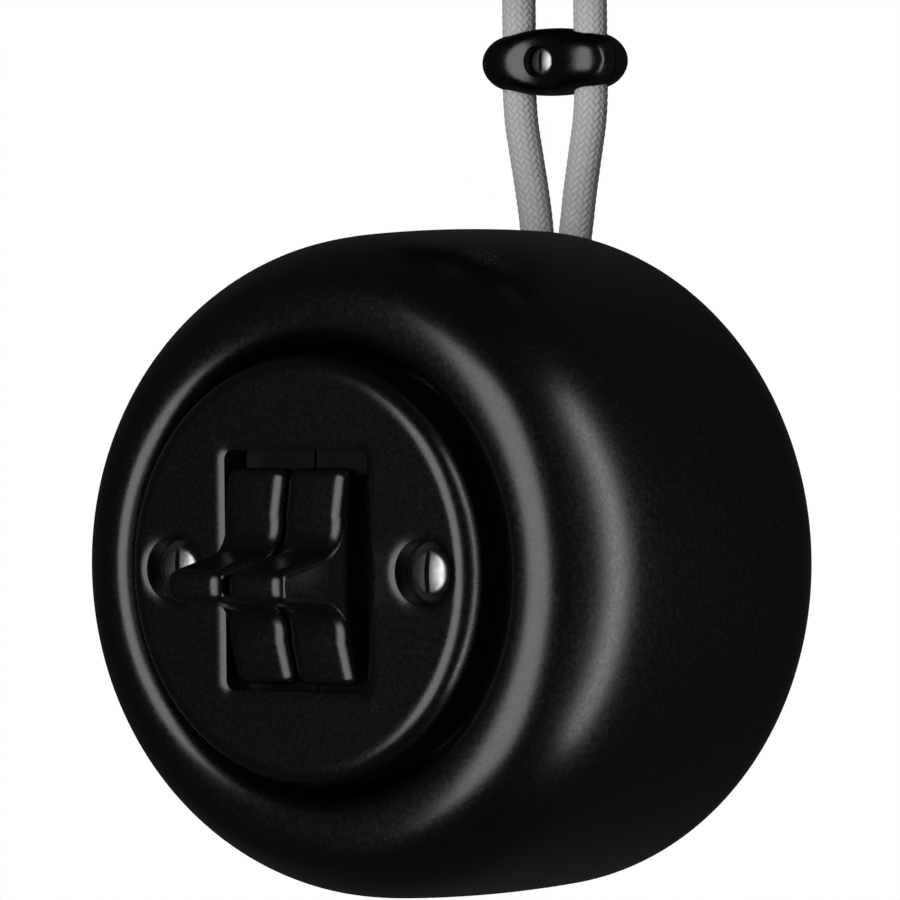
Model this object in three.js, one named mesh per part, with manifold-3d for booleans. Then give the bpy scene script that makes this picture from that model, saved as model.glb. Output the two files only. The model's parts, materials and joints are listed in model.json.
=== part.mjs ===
// Suspended double toggle switch in a porcelain drum, hung on two textile cords
// from a small porcelain ceiling cup.
//
// Units are millimetres, +Z is up and the switch's face looks towards -Y.
// The origin is the middle of the ceiling bracket's top face, in the plane of the cords.
// Inside the group "drum", y is the depth behind a plane just under the rosette's face,
// and z is the height above the drum's axis.

import * as THREE from 'three';
import { mergeVertices } from 'three/addons/utils/BufferGeometryUtils.js';
import Module from 'manifold-3d';

const wasm = await Module();
wasm.setup();

// ---------------------------------------------------------------- driving dimensions

const GAP = 0.3; // air left between pieces that touch
const LARGE_SIDES = 40; // facets round the drum, rosette and rear cover
const CUP_SIDES = 32;
const WELL_SIDES = 20; // facets round the rosette's screw wells
const SMALL_SIDES = 12; // facets round screws and small holes
const TINY_SIDES = 10;

// ceiling cup and its bracket
const CUP_RADIUS = 32;
const CUP_HEIGHT = 26;
const CUP_WALL = 3.6;
const CUP_EDGE_RADIUS = 9;
const BRACKET_LENGTH = 52;
const BRACKET_WIDTH = 14;
const BRACKET_SHEET = 2;
const BRACKET_EAR = 13;
const CUP_SCREW_DROP = 9;

// cords
const CORD_DIAMETER = 5.7;
const CORD_RADIUS = CORD_DIAMETER / 2;
const CORD_SPREAD = 7.3; // half the distance between the cords at the clamp and the cup
const CORD_PINCH = 3.3; // the same where they enter the drum
const CORD_TOP = -17.5;

// drum
const AXIS_DROP = 129; // from the ceiling to the drum's axis
const CORD_DEPTH = 72.8; // depth of the plane of the cords
const DRUM_WALL = 5;
const LIP_RADIUS = 40.5; // circle where the front lip stands out furthest
const LIP_DEPTH = 3.6; // depth of that circle
const LIP_INNER_ROUND = 4;
const RECESS_RADIUS = LIP_RADIUS - LIP_INNER_ROUND;
const BACK_OPENING = 31.5;
const BACK_LEDGE = 28.5;
const COVER_THICK = 4;

// rosette and its window
const ROSETTE_RADIUS = 34.35;
const ROSETTE_FACE = -0.75; // depth of its flat face
const ROSETTE_SHOULDER = 3.4;
const ROSETTE_WALL = 4.4;
const ROSETTE_DEPTH = 10.6;
const ROSETTE_PLATE = 4.6;
const WINDOW_WIDTH = 28.4;
const WINDOW_HEIGHT = 38.4;
const WINDOW_CORNER = 1.6;
const WINDOW_BEVEL = 0.8;
const SCREW_SPREAD = 24.9; // half the distance between the rosette's screws
const SCREW_WELL_RADIUS = 5.35;
const SCREW_WELL_BEVEL = 0.7;
const SCREW_WELL_DEPTH = 3.5;

// rockers
const ROCKER_WIDTH = 11.6;
const ROCKER_CENTRE = 6.1;
const ROCKER_HALF_HEIGHT = 17.3;
const PIVOT_DEPTH = 8;
const PIVOT_HEIGHT = -0.4;
const ROCKER_STORED_TILT = 3.2; // degrees, levers down
const PAD_PROUD = 10; // pad's end in front of the pivot
const PAD_SLOPE = Math.tan(THREE.MathUtils.degToRad(10.5));
const PAD_THICK = 4.8;
const LEVER_REACH = 27.4; // lever's tip in front of the pivot
const LEVER_HALF_THICK = 2.7;
const LEVER_FILLET = 5;
const LEVER_TAPER = (9 * Math.PI) / 180; // the lever's faces spread by this much towards its root
const AXLE_RADIUS = 1.1;
const HUB_RADIUS = 4;
const STEM_REAR = 10;

// mechanism
const RING_FRONT = ROSETTE_DEPTH + GAP;
const RING_SHEET = 1.7;
const RING_RADIUS = 34;
const RING_OPENING_WIDTH = 32;
const RING_OPENING_HEIGHT = 41;
const FRAME_SCREW_SPREAD = 30.15;
const BASE_FRONT = RING_FRONT + RING_SHEET + GAP;
const BASE_REAR = 34;
const BASE_FLANGE = 4;
const BASE_FLOOR = 30;
const BLOCK_FRONT = 5.2; // four blocks that stand forward above and below the rocker stems
const BLOCK_REACH = 14;
const BLOCK_SPLIT = 0.25;
const BLOCK_LOW = 15.2;
const BLOCK_HIGH = 20.2;
const BRIDGE_DEPTH = 26.5;
const BRIDGE_STORED_TILT = 1.5 * ROCKER_STORED_TILT;
const BRIDGE_THICK = 1.2;
const CONTACT_HEIGHT = 1.1; // of a contact button behind the bridge's middle plane
const CONTACT_SETBACK = 2.45; // of the outer contacts behind the same plane
const TERMINAL_PITCH = 10.6;

// cord clamp
const CLAMP_LENGTH = 24.8;
const CLAMP_THICK = 12.5;
const CLAMP_HEIGHT = 11.3;
const CLAMP_END_HEIGHT = 8.6;
const CLAMP_ROUND = 3.9;
const CLAMP_WAIST = 1.6; // how far the middle of each face sinks between the cords
const CLAMP_WAIST_ROUND = 14;
const CLAMP_SCREW_SEAT = 3.5; // from the parting plane forward to the screw head's seat
const CLAMP_NUT_SEAT = 2.6; // from the parting plane back to the nut's seat
const CLAMP_RISE = 83.2; // of the clamp's middle above the drum's axis

// ---------------------------------------------------------------- materials

function finish(color, roughness, metalness) {
  return new THREE.MeshStandardMaterial({ color, roughness, metalness });
}

const PORCELAIN = [0x0b0b0c, 0.36, 0];
const NICKEL = [0xb9bab8, 0.3, 1];
const STEEL = [0x8f9294, 0.45, 1];
const BRASS = [0xb08d45, 0.4, 1];
const TEXTILE = [0xa6a7a6, 0.9, 0];
const MOULDING = [0x2a2724, 0.6, 0];
const SHEATH = [0x5b4a3a, 0.6, 0];

// ---------------------------------------------------------------- solids

// A closed three.js geometry as a manifold solid, whichever way it was wound.
function solid(geometry) {
  const bare = geometry.clone();
  bare.deleteAttribute('normal');
  bare.deleteAttribute('uv');
  const merged = mergeVertices(bare, 1e-4);
  const place = merged.attributes.position;
  const index = merged.index.array;
  const kept = [];
  let volume = 0;
  const a = new THREE.Vector3();
  const b = new THREE.Vector3();
  const c = new THREE.Vector3();
  for (let i = 0; i < index.length; i += 3) {
    const [p, q, r] = [index[i], index[i + 1], index[i + 2]];
    if (p === q || q === r || r === p) continue;
    kept.push(p, q, r);
    a.fromBufferAttribute(place, p);
    b.fromBufferAttribute(place, q);
    c.fromBufferAttribute(place, r);
    volume += a.dot(b.cross(c));
  }
  if (volume < 0) kept.reverse();
  return new wasm.Manifold(
    new wasm.Mesh({
      numProp: 3,
      vertProperties: new Float32Array(place.array),
      triVerts: new Uint32Array(kept),
    }),
  );
}

function geometryOf(body) {
  const mesh = body.getMesh();
  const geometry = new THREE.BufferGeometry();
  geometry.setAttribute('position', new THREE.BufferAttribute(new Float32Array(mesh.vertProperties), 3));
  geometry.setIndex(new THREE.BufferAttribute(new Uint32Array(mesh.triVerts), 1));
  return geometry;
}

function joined(first, ...others) {
  return others.reduce((body, other) => body.add(other), first);
}

function cut(first, ...others) {
  return others.reduce((body, other) => body.subtract(other), first);
}

// Bodies with their long axis along X, Y or Z.
const ALONG_X = new THREE.Matrix4().set(0, 0, 1, 0, 1, 0, 0, 0, 0, 1, 0, 0, 0, 0, 0, 1);
const ALONG_Y = new THREE.Matrix4().set(1, 0, 0, 0, 0, 0, -1, 0, 0, 1, 0, 0, 0, 0, 0, 1);

function box(x0, x1, y0, y1, z0, z1) {
  const shape = new THREE.BoxGeometry(x1 - x0, y1 - y0, z1 - z0);
  return solid(shape.translate((x0 + x1) / 2, (y0 + y1) / 2, (z0 + z1) / 2));
}

// A body turned about the Y axis from [radius, y] points, moved to x, z.
function turnedY(points, sides = SMALL_SIDES, x = 0, z = 0) {
  const profile = points.map(([radius, y]) => new THREE.Vector2(radius, y));
  return solid(new THREE.LatheGeometry(profile, sides).translate(x, 0, z));
}

function rodY(radius, y0, y1, x = 0, z = 0, sides = SMALL_SIDES) {
  return turnedY([[0, y0], [radius, y0], [radius, y1], [0, y1]], sides, x, z);
}

function turnedZ(points, sides = SMALL_SIDES, x = 0, y = 0) {
  const profile = points.map(([radius, z]) => new THREE.Vector2(radius, z));
  return solid(new THREE.LatheGeometry(profile, sides).rotateX(Math.PI / 2).translate(x, y, 0));
}

function rodZ(radius, z0, z1, x = 0, y = 0, sides = SMALL_SIDES) {
  return turnedZ([[0, z0], [radius, z0], [radius, z1], [0, z1]], sides, x, y);
}

function rodX(radius, x0, x1, y = 0, z = 0, sides = SMALL_SIDES) {
  const rod = new THREE.CylinderGeometry(radius, radius, x1 - x0, sides);
  return solid(rod.rotateZ(Math.PI / 2).translate((x0 + x1) / 2, y, z));
}

function roundedRectangle(width, height, corner) {
  const [w, h] = [width / 2, height / 2];
  const shape = new THREE.Shape();
  shape.moveTo(w - corner, -h);
  shape.absarc(w - corner, -h + corner, corner, -Math.PI / 2, 0);
  shape.absarc(w - corner, h - corner, corner, 0, Math.PI / 2);
  shape.absarc(-w + corner, h - corner, corner, Math.PI / 2, Math.PI);
  shape.absarc(-w + corner, -h + corner, corner, Math.PI, 1.5 * Math.PI);
  shape.closePath();
  return shape;
}

// A shape drawn in x, z and extruded from y0 to y1.
function slabY(shape, y0, y1, curveSegments = 4) {
  const slab = new THREE.ExtrudeGeometry(shape, { depth: y1 - y0, bevelEnabled: false, curveSegments });
  return solid(slab.applyMatrix4(ALONG_Y).translate(0, y1, 0));
}

// Points round an arc given by its centre, radius and the angles of its ends, in degrees.
// The angle is that of the outward normal, 0 facing the front and 90 away from the axis.
function arc(radius, depth, round, from, to, steps) {
  const points = [];
  for (let i = 0; i <= steps; i += 1) {
    const angle = THREE.MathUtils.degToRad(from + ((to - from) * i) / steps);
    points.push([radius + round * Math.sin(angle), depth - round * Math.cos(angle)]);
  }
  return points;
}

// Arcs that follow one another tangentially from a starting point: [round, angle reached, steps].
function arcChain(start, fromAngle, arcs) {
  const points = [start];
  let [radius, depth] = start;
  let angle = fromAngle;
  for (const [round, reached, steps] of arcs) {
    const a0 = THREE.MathUtils.degToRad(angle);
    const centre = [radius - round * Math.sin(a0), depth + round * Math.cos(a0)];
    const run = arc(centre[0], centre[1], round, angle, reached, steps);
    points.push(...run.slice(1));
    [radius, depth] = run[run.length - 1];
    angle = reached;
  }
  return points;
}

// A tube of even section along a smooth route.
function tube(points, radius, steps, sides) {
  const route = new THREE.CatmullRomCurve3(points.map((p) => new THREE.Vector3(...p)));
  const section = new THREE.Shape();
  for (let i = 0; i < sides; i += 1) {
    const angle = (2 * Math.PI * i) / sides;
    const [x, y] = [radius * Math.cos(angle), radius * Math.sin(angle)];
    if (i === 0) section.moveTo(x, y);
    else section.lineTo(x, y);
  }
  section.closePath();
  return solid(new THREE.ExtrudeGeometry(section, { steps, extrudePath: route, bevelEnabled: false }));
}

// ---------------------------------------------------------------- tree

const root = new THREE.Group();
const drum = new THREE.Group();
drum.position.set(0, -CORD_DEPTH, -AXIS_DROP);
root.add(drum);

function place(group, name, body, look) {
  const mesh = new THREE.Mesh(geometryOf(body), finish(...look));
  mesh.name = name;
  group.add(mesh);
  return mesh;
}

const SIDES = [['left', -1], ['right', 1]];

// A slotted screw with a domed head. Its axis is Y, with the head at the front.
function slottedScrew(headRadius, headFront, seat, shankRadius, tip, x, z, slotWidth) {
  const dome = 0.28 * (seat - headFront);
  const profile = [
    [0, headFront],
    [0.5 * headRadius, headFront + 0.25 * dome],
    [0.85 * headRadius, headFront + dome],
    [headRadius, headFront + 2.2 * dome],
    [headRadius, seat],
    [shankRadius, seat],
    [shankRadius, tip],
    [0, tip],
  ];
  const slot = box(
    x - slotWidth / 2,
    x + slotWidth / 2,
    headFront - 1,
    headFront + 0.5 * (seat - headFront),
    z - headRadius - 1,
    z + headRadius + 1,
  );
  return cut(turnedY(profile, SMALL_SIDES, x, z), slot);
}

// ---------------------------------------------------------------- drum housing

const LIP_OUTER = [
  [9.5, 53, 3],
  [27.7, 70, 2],
  [28, 82, 1],
  [70, 86, 1],
  [388, 91.5, 2],
  [13, 130, 3],
  [27, 180, 3],
];
const outerWall = arcChain([LIP_RADIUS, LIP_DEPTH], 0, LIP_OUTER);
const BACK_DEPTH = outerWall[outerWall.length - 1][1];
const DRUM_RADIUS = Math.max(...outerWall.map((p) => p[0]));
const COVER_SEAT = BACK_DEPTH - COVER_THICK - GAP;
const LEDGE_FRONT = COVER_SEAT - 4.5;
const innerRadius = DRUM_RADIUS - DRUM_WALL;
const SLOT_CENTRE = [CORD_DEPTH - 0.6, 50];
const SLOT_LEAN = 28; // degrees, the cord slot's lean towards the front as it goes down

// The slot for both cords through the top rear shoulder.
function cordSlot() {
  const outline = roundedRectangle(15.2, 8.2, 4.05);
  const slab = new THREE.ExtrudeGeometry(outline, { depth: 34, bevelEnabled: false, curveSegments: 4 });
  slab.translate(0, 0, -17);
  slab.rotateX(THREE.MathUtils.degToRad(-SLOT_LEAN));
  return solid(slab.translate(0, SLOT_CENTRE[0], SLOT_CENTRE[1]));
}

const SADDLE_SHELF = 58.5; // depth of the face that the cords are clamped against
const SADDLE_HEIGHT = 27;
const SADDLE_SCREW_SPREAD = 10;
const COVER_SCREW_SPREAD = 25.5;

function housing() {
  const lipInside = arc(LIP_RADIUS, LIP_DEPTH + LIP_INNER_ROUND, LIP_INNER_ROUND, -90, 0, 3);
  const profile = [
    [RECESS_RADIUS, 15],
    ...lipInside,
    ...outerWall.slice(1, -1).filter(([radius]) => radius > BACK_OPENING),
    [BACK_OPENING, BACK_DEPTH],
    [BACK_OPENING, COVER_SEAT],
    [BACK_LEDGE, COVER_SEAT],
    [BACK_LEDGE, LEDGE_FRONT],
    [BACK_OPENING + 2, LEDGE_FRONT],
    [innerRadius - 6, BACK_DEPTH - 13],
    [innerRadius - 1, BACK_DEPTH - 20],
    [innerRadius, BACK_DEPTH - 27],
    [innerRadius - 1.2, 24],
    [innerRadius - 4, 18],
    [RECESS_RADIUS + 7, 15],
    [RECESS_RADIUS, 15],
  ];
  let body = turnedY(profile, LARGE_SIDES);
  for (const end of [-1, 1]) {
    const z = end * FRAME_SCREW_SPREAD;
    const [near, far] = [z - end * 5, end * (innerRadius - 4)];
    body = body.add(box(-6, 6, BASE_FRONT, 26, Math.min(near, far), Math.max(near, far)));
    body = cut(body, rodY(1.7, BASE_FRONT - 1, 22, 0, z));
  }
  const shelf = box(-15, 15, SADDLE_SHELF - 8, SADDLE_SHELF, SADDLE_HEIGHT - 5, innerRadius - 2);
  body = body.add(shelf);
  for (const [, side] of SIDES) {
    const x = side * COVER_SCREW_SPREAD;
    const lug = box(x - 4.5, x + 4.5, COVER_SEAT - 9, COVER_SEAT, -4.5, 4.5);
    const web = box(...(side > 0 ? [x, 44] : [-44, x]), COVER_SEAT - 9, LEDGE_FRONT + 1, -4.5, 4.5);
    const inside = turnedY([[0, 20], [36, 20], [36, COVER_SEAT], [0, COVER_SEAT]], 32);
    body = joined(body, lug, web.intersect(inside));
    body = cut(body, rodY(1.75, COVER_SEAT - 7, COVER_SEAT + 1, x, 0));
    const saddleX = side * SADDLE_SCREW_SPREAD;
    body = cut(body, rodY(1.6, SADDLE_SHELF - 7, SADDLE_SHELF + 1, saddleX, SADDLE_HEIGHT));
  }
  return cut(body, cordSlot());
}

place(drum, 'housing', housing(), PORCELAIN);

// ---------------------------------------------------------------- rear cover

function rearCover() {
  const radius = BACK_OPENING - 0.4;
  const face = BACK_DEPTH;
  const inner = BACK_DEPTH - COVER_THICK;
  const edge = arc(radius - 1, face - 1, 1, 90, 180, 2);
  let body = turnedY([[0, inner], [radius, inner], ...edge, [0, face]], LARGE_SIDES);
  for (const [, side] of SIDES) {
    const x = side * COVER_SCREW_SPREAD;
    body = cut(body, rodY(4, face - 2.2, face + 1, x, 0), rodY(1.9, inner - 1, face, x, 0));
  }
  return body;
}

place(drum, 'rear_cover', rearCover(), PORCELAIN);

for (const [side, sign] of SIDES) {
  const screw = slottedScrew(3, -0.2, 1.8, 1.5, 9.6, 0, 0, 0.8);
  const mesh = place(drum, `rear_cover_screw_${side}`, screw, NICKEL);
  mesh.rotation.z = Math.PI;
  mesh.position.set(sign * COVER_SCREW_SPREAD, BACK_DEPTH - 0.2, 0);
}

// ---------------------------------------------------------------- rosette

function rosette() {
  const shoulderRadius = ROSETTE_RADIUS - ROSETTE_SHOULDER;
  const shoulder = arc(shoulderRadius, ROSETTE_FACE + ROSETTE_SHOULDER, ROSETTE_SHOULDER, 0, 90, 6);
  const hollow = ROSETTE_RADIUS - ROSETTE_WALL;
  let body = turnedY(
    [
      [0, ROSETTE_FACE],
      ...shoulder,
      [ROSETTE_RADIUS, ROSETTE_DEPTH],
      [hollow, ROSETTE_DEPTH],
      [hollow, ROSETTE_PLATE],
      [0, ROSETTE_PLATE],
    ],
    LARGE_SIDES,
  );
  for (const [, side] of SIDES) {
    const x = side * SCREW_SPREAD;
    body = body.add(rodY(SCREW_WELL_RADIUS + 1.3, ROSETTE_PLATE - 1, ROSETTE_DEPTH, x));
    const well = turnedY(
      [
        [0, ROSETTE_FACE - 1],
        [SCREW_WELL_RADIUS + SCREW_WELL_BEVEL, ROSETTE_FACE - 1],
        [SCREW_WELL_RADIUS + SCREW_WELL_BEVEL, ROSETTE_FACE],
        [SCREW_WELL_RADIUS, ROSETTE_FACE + SCREW_WELL_BEVEL],
        [SCREW_WELL_RADIUS, SCREW_WELL_DEPTH],
        [0, SCREW_WELL_DEPTH],
      ],
      WELL_SIDES,
      x,
    );
    body = cut(body, well, rodY(2.05, 0, ROSETTE_DEPTH + 1, x));
  }
  const window = roundedRectangle(WINDOW_WIDTH, WINDOW_HEIGHT, WINDOW_CORNER);
  const mouth = roundedRectangle(
    WINDOW_WIDTH + 2 * WINDOW_BEVEL,
    WINDOW_HEIGHT + 2 * WINDOW_BEVEL,
    WINDOW_CORNER + WINDOW_BEVEL,
  );
  const front = ROSETTE_FACE - 1;
  return cut(body, slabY(window, front, ROSETTE_DEPTH), slabY(mouth, front, ROSETTE_FACE + WINDOW_BEVEL));
}

place(drum, 'rosette', rosette(), PORCELAIN);

for (const [side, sign] of SIDES) {
  const screw = slottedScrew(3.4, 0.8, SCREW_WELL_DEPTH - GAP, 1.7, 16.5, sign * SCREW_SPREAD, 0, 0.8);
  place(drum, `rosette_screw_${side}`, screw, NICKEL);
}

// ---------------------------------------------------------------- rockers

// Side outline about the pivot: x of the shape is the depth behind it, y the height above it.
function rockerOutline() {
  const shape = new THREE.Shape();
  const slope = Math.atan(PAD_SLOPE);
  const rise = Math.tan(LEVER_TAPER);
  const tipRound = 2.2;
  const tipDepth = -LEVER_REACH + tipRound;
  const tipHeight = LEVER_HALF_THICK - tipRound;
  const padFoot = -PAD_PROUD - ROCKER_HALF_HEIGHT * PAD_SLOPE;
  // the fillet's middle lies one radius off both the pad's plane and the lever's face
  const fromPad = LEVER_FILLET / Math.cos(slope);
  const fromLever = (tipRound + LEVER_FILLET) / Math.cos(LEVER_TAPER);
  const climb = rise * (padFoot - fromPad - tipDepth);
  const filletHeight = (tipHeight + fromLever + climb) / (1 - rise * PAD_SLOPE);
  const filletDepth = padFoot - fromPad + filletHeight * PAD_SLOPE;
  const turn = Math.PI / 2 - LEVER_TAPER;
  const corner = 1.3;
  const back = -PAD_PROUD + PAD_THICK;
  const half = [
    [STEM_REAR, 2.9],
    [3.2, 2.9],
    [1.5, HUB_RADIUS],
    [-2.5, HUB_RADIUS + 1.2],
    [back, ROCKER_HALF_HEIGHT - 1.2],
    [back - 1, ROCKER_HALF_HEIGHT - 0.2],
  ];
  for (let i = 0; i <= 3; i += 1) {
    const angle = Math.PI / 2 + ((Math.PI / 2) * i) / 3;
    const centre = [-PAD_PROUD + corner, ROCKER_HALF_HEIGHT - corner];
    half.push([centre[0] + corner * Math.cos(angle), centre[1] + corner * Math.sin(angle)]);
  }
  for (let i = 0; i <= 5; i += 1) {
    const angle = slope - (i * (slope + turn)) / 5;
    half.push([
      filletDepth + LEVER_FILLET * Math.cos(angle),
      filletHeight + LEVER_FILLET * Math.sin(angle),
    ]);
  }
  for (let i = 0; i <= 4; i += 1) {
    const angle = Math.PI - (turn * (4 - i)) / 4;
    half.push([tipDepth + tipRound * Math.cos(angle), tipHeight + tipRound * Math.sin(angle)]);
  }
  const outline = [...half, ...half.map(([depth, height]) => [depth, -height]).reverse()];
  shape.setFromPoints(outline.map(([depth, height]) => new THREE.Vector2(depth, height)));
  shape.closePath();
  return shape;
}

const ROUND_SIDE = 1.1;
const PLUNGER_RADIUS = 1.5;

function rocker() {
  const slab = new THREE.ExtrudeGeometry(rockerOutline(), {
    depth: ROCKER_WIDTH - 2 * ROUND_SIDE,
    bevelEnabled: true,
    bevelThickness: ROUND_SIDE,
    bevelSize: ROUND_SIDE,
    bevelOffset: -ROUND_SIDE,
    bevelSegments: 2,
  });
  slab.translate(0, 0, -(ROCKER_WIDTH / 2 - ROUND_SIDE));
  const bore = rodX(AXLE_RADIUS + 0.2, -ROCKER_WIDTH, ROCKER_WIDTH, 0, 0, TINY_SIDES);
  const springBore = rodY(PLUNGER_RADIUS + 0.3, 2.6, STEM_REAR + 1, 0, 0, TINY_SIDES);
  return cut(solid(slab.applyMatrix4(ALONG_X)), bore, springBore);
}

function plunger() {
  const profile = [
    [0, 7],
    [PLUNGER_RADIUS, 7],
    [PLUNGER_RADIUS, 15.6],
    [0.8 * PLUNGER_RADIUS, 17.1],
    [0, 17.6],
  ];
  return turnedY(profile, TINY_SIDES);
}

function plungerSpring() {
  const [outer, inner] = [PLUNGER_RADIUS, PLUNGER_RADIUS - 0.6];
  return turnedY([[inner, 3], [outer, 3], [outer, 6.7], [inner, 6.7], [inner, 3]], TINY_SIDES);
}

for (const [side, sign] of SIDES) {
  const tilted = new THREE.Group();
  tilted.position.set(sign * ROCKER_CENTRE, PIVOT_DEPTH, PIVOT_HEIGHT);
  tilted.rotation.x = THREE.MathUtils.degToRad(ROCKER_STORED_TILT);
  drum.add(tilted);
  place(tilted, `rocker_${side}`, rocker(), PORCELAIN);
  place(tilted, `plunger_${side}`, plunger(), BRASS);
  place(tilted, `plunger_spring_${side}`, plungerSpring(), STEEL);
}

place(drum, 'rocker_axle', rodX(AXLE_RADIUS, -15.4, 15.4, PIVOT_DEPTH, PIVOT_HEIGHT, TINY_SIDES), STEEL);

// ---------------------------------------------------------------- support ring and mechanism

const RIVETS = [[-18.4, 12], [18.4, -12]];
const RIVET_RADIUS = 1.2;
const RIVET_HEAD_RADIUS = 2.4;
const RIVET_HOLE = RIVET_RADIUS + GAP;

function supportRing() {
  const [front, rear] = [RING_FRONT, RING_FRONT + RING_SHEET];
  const opening = slabY(roundedRectangle(RING_OPENING_WIDTH, RING_OPENING_HEIGHT, 2), front - 1, rear + 1);
  let body = cut(rodY(RING_RADIUS, front, rear, 0, 0, CUP_SIDES), opening);
  const countersink = [
    [0, front - 1],
    [4.5, front - 1],
    [1.9, rear + 0.1],
    [1.9, rear + 1],
    [0, rear + 1],
  ];
  for (const [, side] of SIDES) {
    body = cut(body, rodY(1.95, front - 1, rear + 1, side * SCREW_SPREAD));
    body = cut(body, turnedY(countersink, SMALL_SIDES, 0, side * FRAME_SCREW_SPREAD));
  }
  for (const [x, z] of RIVETS) body = cut(body, rodY(RIVET_HOLE, front - 1, rear + 1, x, z, TINY_SIDES));
  return body;
}

place(drum, 'support_ring', supportRing(), STEEL);

for (const [name, end] of [['top', 1], ['bottom', -1]]) {
  const [front, rear] = [RING_FRONT, RING_FRONT + RING_SHEET];
  const height = end * FRAME_SCREW_SPREAD;
  const profile = [[0, front + 0.1], [3, front + 0.1], [1.45, rear], [1.45, 21], [0, 21.5]];
  const slot = box(-0.4, 0.4, front - 1, front + 0.9, height - 4, height + 4);
  place(drum, `frame_screw_${name}`, cut(turnedY(profile, SMALL_SIDES, 0, height), slot), STEEL);
}

RIVETS.forEach(([x, z], i) => {
  const front = RING_FRONT + 0.1;
  const seat = BASE_FRONT + BASE_FLANGE + GAP;
  const shank = rodY(RIVET_RADIUS, front, seat + 0.5, x, z, TINY_SIDES);
  const head = rodY(RIVET_HEAD_RADIUS, seat, seat + 1, x, z, TINY_SIDES);
  place(drum, `base_rivet_${i + 1}`, joined(shank, head), BRASS);
});

const terminalHeights = [TERMINAL_PITCH + PIVOT_HEIGHT, PIVOT_HEIGHT, -TERMINAL_PITCH + PIVOT_HEIGHT];
const POST_RADIUS = 1.3;

function mechanismBase() {
  const flange = box(-22, 22, BASE_FRONT, BASE_FRONT + BASE_FLANGE, -18, 18);
  const block = box(-15.5, 15.5, BASE_FRONT, BASE_REAR, -19, 19);
  let body = joined(flange, block);
  body = cut(body, box(-12.4, 12.4, BASE_FRONT - 1, 20, -14.5, 14.5));
  for (const [, side] of SIDES) {
    const [x0, x1] = side > 0 ? [0.8, 12.4] : [-12.4, -0.8];
    body = cut(body, box(x0, x1, 19, BASE_FLOOR, -14.5, 14.5));
    const ear = side > 0 ? [12.4, 15.5] : [-15.5, -12.4];
    body = body.add(box(...ear, ROSETTE_PLATE + 0.6, BASE_FRONT + 1, PIVOT_HEIGHT - 4.5, PIVOT_HEIGHT + 4.5));
    const width = side > 0 ? [BLOCK_SPLIT, BLOCK_REACH] : [-BLOCK_REACH, -BLOCK_SPLIT];
    body = body.add(box(...width, BLOCK_FRONT, BASE_FRONT + 0.5, BLOCK_LOW, BLOCK_HIGH));
    body = body.add(box(...width, BLOCK_FRONT, BASE_FRONT + 0.5, -BLOCK_HIGH, -BLOCK_LOW));
    for (const z of terminalHeights) {
      const x = side * ROCKER_CENTRE;
      body = cut(body, rodY(POST_RADIUS + 0.2, BASE_FLOOR - 1, BASE_REAR + 1, x, z, TINY_SIDES));
    }
  }
  for (const [x, z] of RIVETS) {
    body = cut(body, rodY(RIVET_HOLE, BASE_FRONT - 1, BASE_FRONT + BASE_FLANGE + 1, x, z, TINY_SIDES));
  }
  return cut(body, rodX(AXLE_RADIUS + 0.2, -20, 20, PIVOT_DEPTH, PIVOT_HEIGHT, TINY_SIDES));
}

place(drum, 'mechanism_base', mechanismBase(), MOULDING);

// The moving bridge: a brass strip with a contact button at each end.
function contactBridge() {
  const half = TERMINAL_PITCH + 1.8;
  const strip = box(-3.8, 3.8, -BRIDGE_THICK / 2, BRIDGE_THICK / 2, -half, half);
  const button = (z) => rodY(1.5, 0, CONTACT_HEIGHT, 0, z, TINY_SIDES);
  return joined(strip, button(-TERMINAL_PITCH), button(TERMINAL_PITCH));
}

const TERMINAL_NAMES = ['upper', 'common', 'lower'];

const TERMINAL_REAR = BASE_REAR + 7.3;
const WIRE_DEPTH = BASE_REAR + 3.6;

function terminal(x, z, isCommon) {
  const front = BRIDGE_DEPTH + (isCommon ? CONTACT_HEIGHT : CONTACT_SETBACK);
  const head = isCommon ? 1.0 : 1.9;
  const post = joined(
    rodY(head, front, BASE_FLOOR - GAP, x, z, TINY_SIDES),
    rodY(POST_RADIUS, front + 0.5, BASE_REAR + 1, x, z, TINY_SIDES),
  );
  const block = box(x - 3.5, x + 3.5, BASE_REAR + GAP, TERMINAL_REAR, z - 3.2, z + 3.2);
  const wireHole = rodX(1.2, x - 5, x + 5, WIRE_DEPTH, z, TINY_SIDES);
  const screwHole = rodY(1.35, WIRE_DEPTH + 0.4, TERMINAL_REAR + 1, x, z, TINY_SIDES);
  return cut(joined(post, block), wireHole, screwHole);
}

function terminalScrew(x, z) {
  const seat = TERMINAL_REAR + GAP;
  const shank = rodY(1.05, WIRE_DEPTH + 1.3, seat + 0.5, x, z, TINY_SIDES);
  const head = rodY(2.2, seat, seat + 1.7, x, z, TINY_SIDES);
  const slot = box(x - 2.5, x + 2.5, seat + 0.9, seat + 3, z - 0.3, z + 0.3);
  return cut(joined(shank, head), slot);
}

for (const [side, sign] of SIDES) {
  const x = sign * ROCKER_CENTRE;
  const bridge = place(drum, `contact_bridge_${side}`, contactBridge(), BRASS);
  bridge.position.set(x, BRIDGE_DEPTH, PIVOT_HEIGHT);
  bridge.rotation.x = THREE.MathUtils.degToRad(-BRIDGE_STORED_TILT);
  terminalHeights.forEach((z, i) => {
    place(drum, `terminal_${side}_${TERMINAL_NAMES[i]}`, terminal(x, z, i === 1), BRASS);
    place(drum, `terminal_screw_${side}_${TERMINAL_NAMES[i]}`, terminalScrew(x, z), STEEL);
  });
}

// ---------------------------------------------------------------- cord saddle inside the drum

const CLAMPED_DEPTH = SADDLE_SHELF + GAP + CORD_RADIUS;
const SADDLE_FRONT = SADDLE_SHELF + GAP + 2.5;
const SADDLE_REAR = CLAMPED_DEPTH + CORD_RADIUS + 2.6;
const SADDLE_HALF_HEIGHT = 4;

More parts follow.
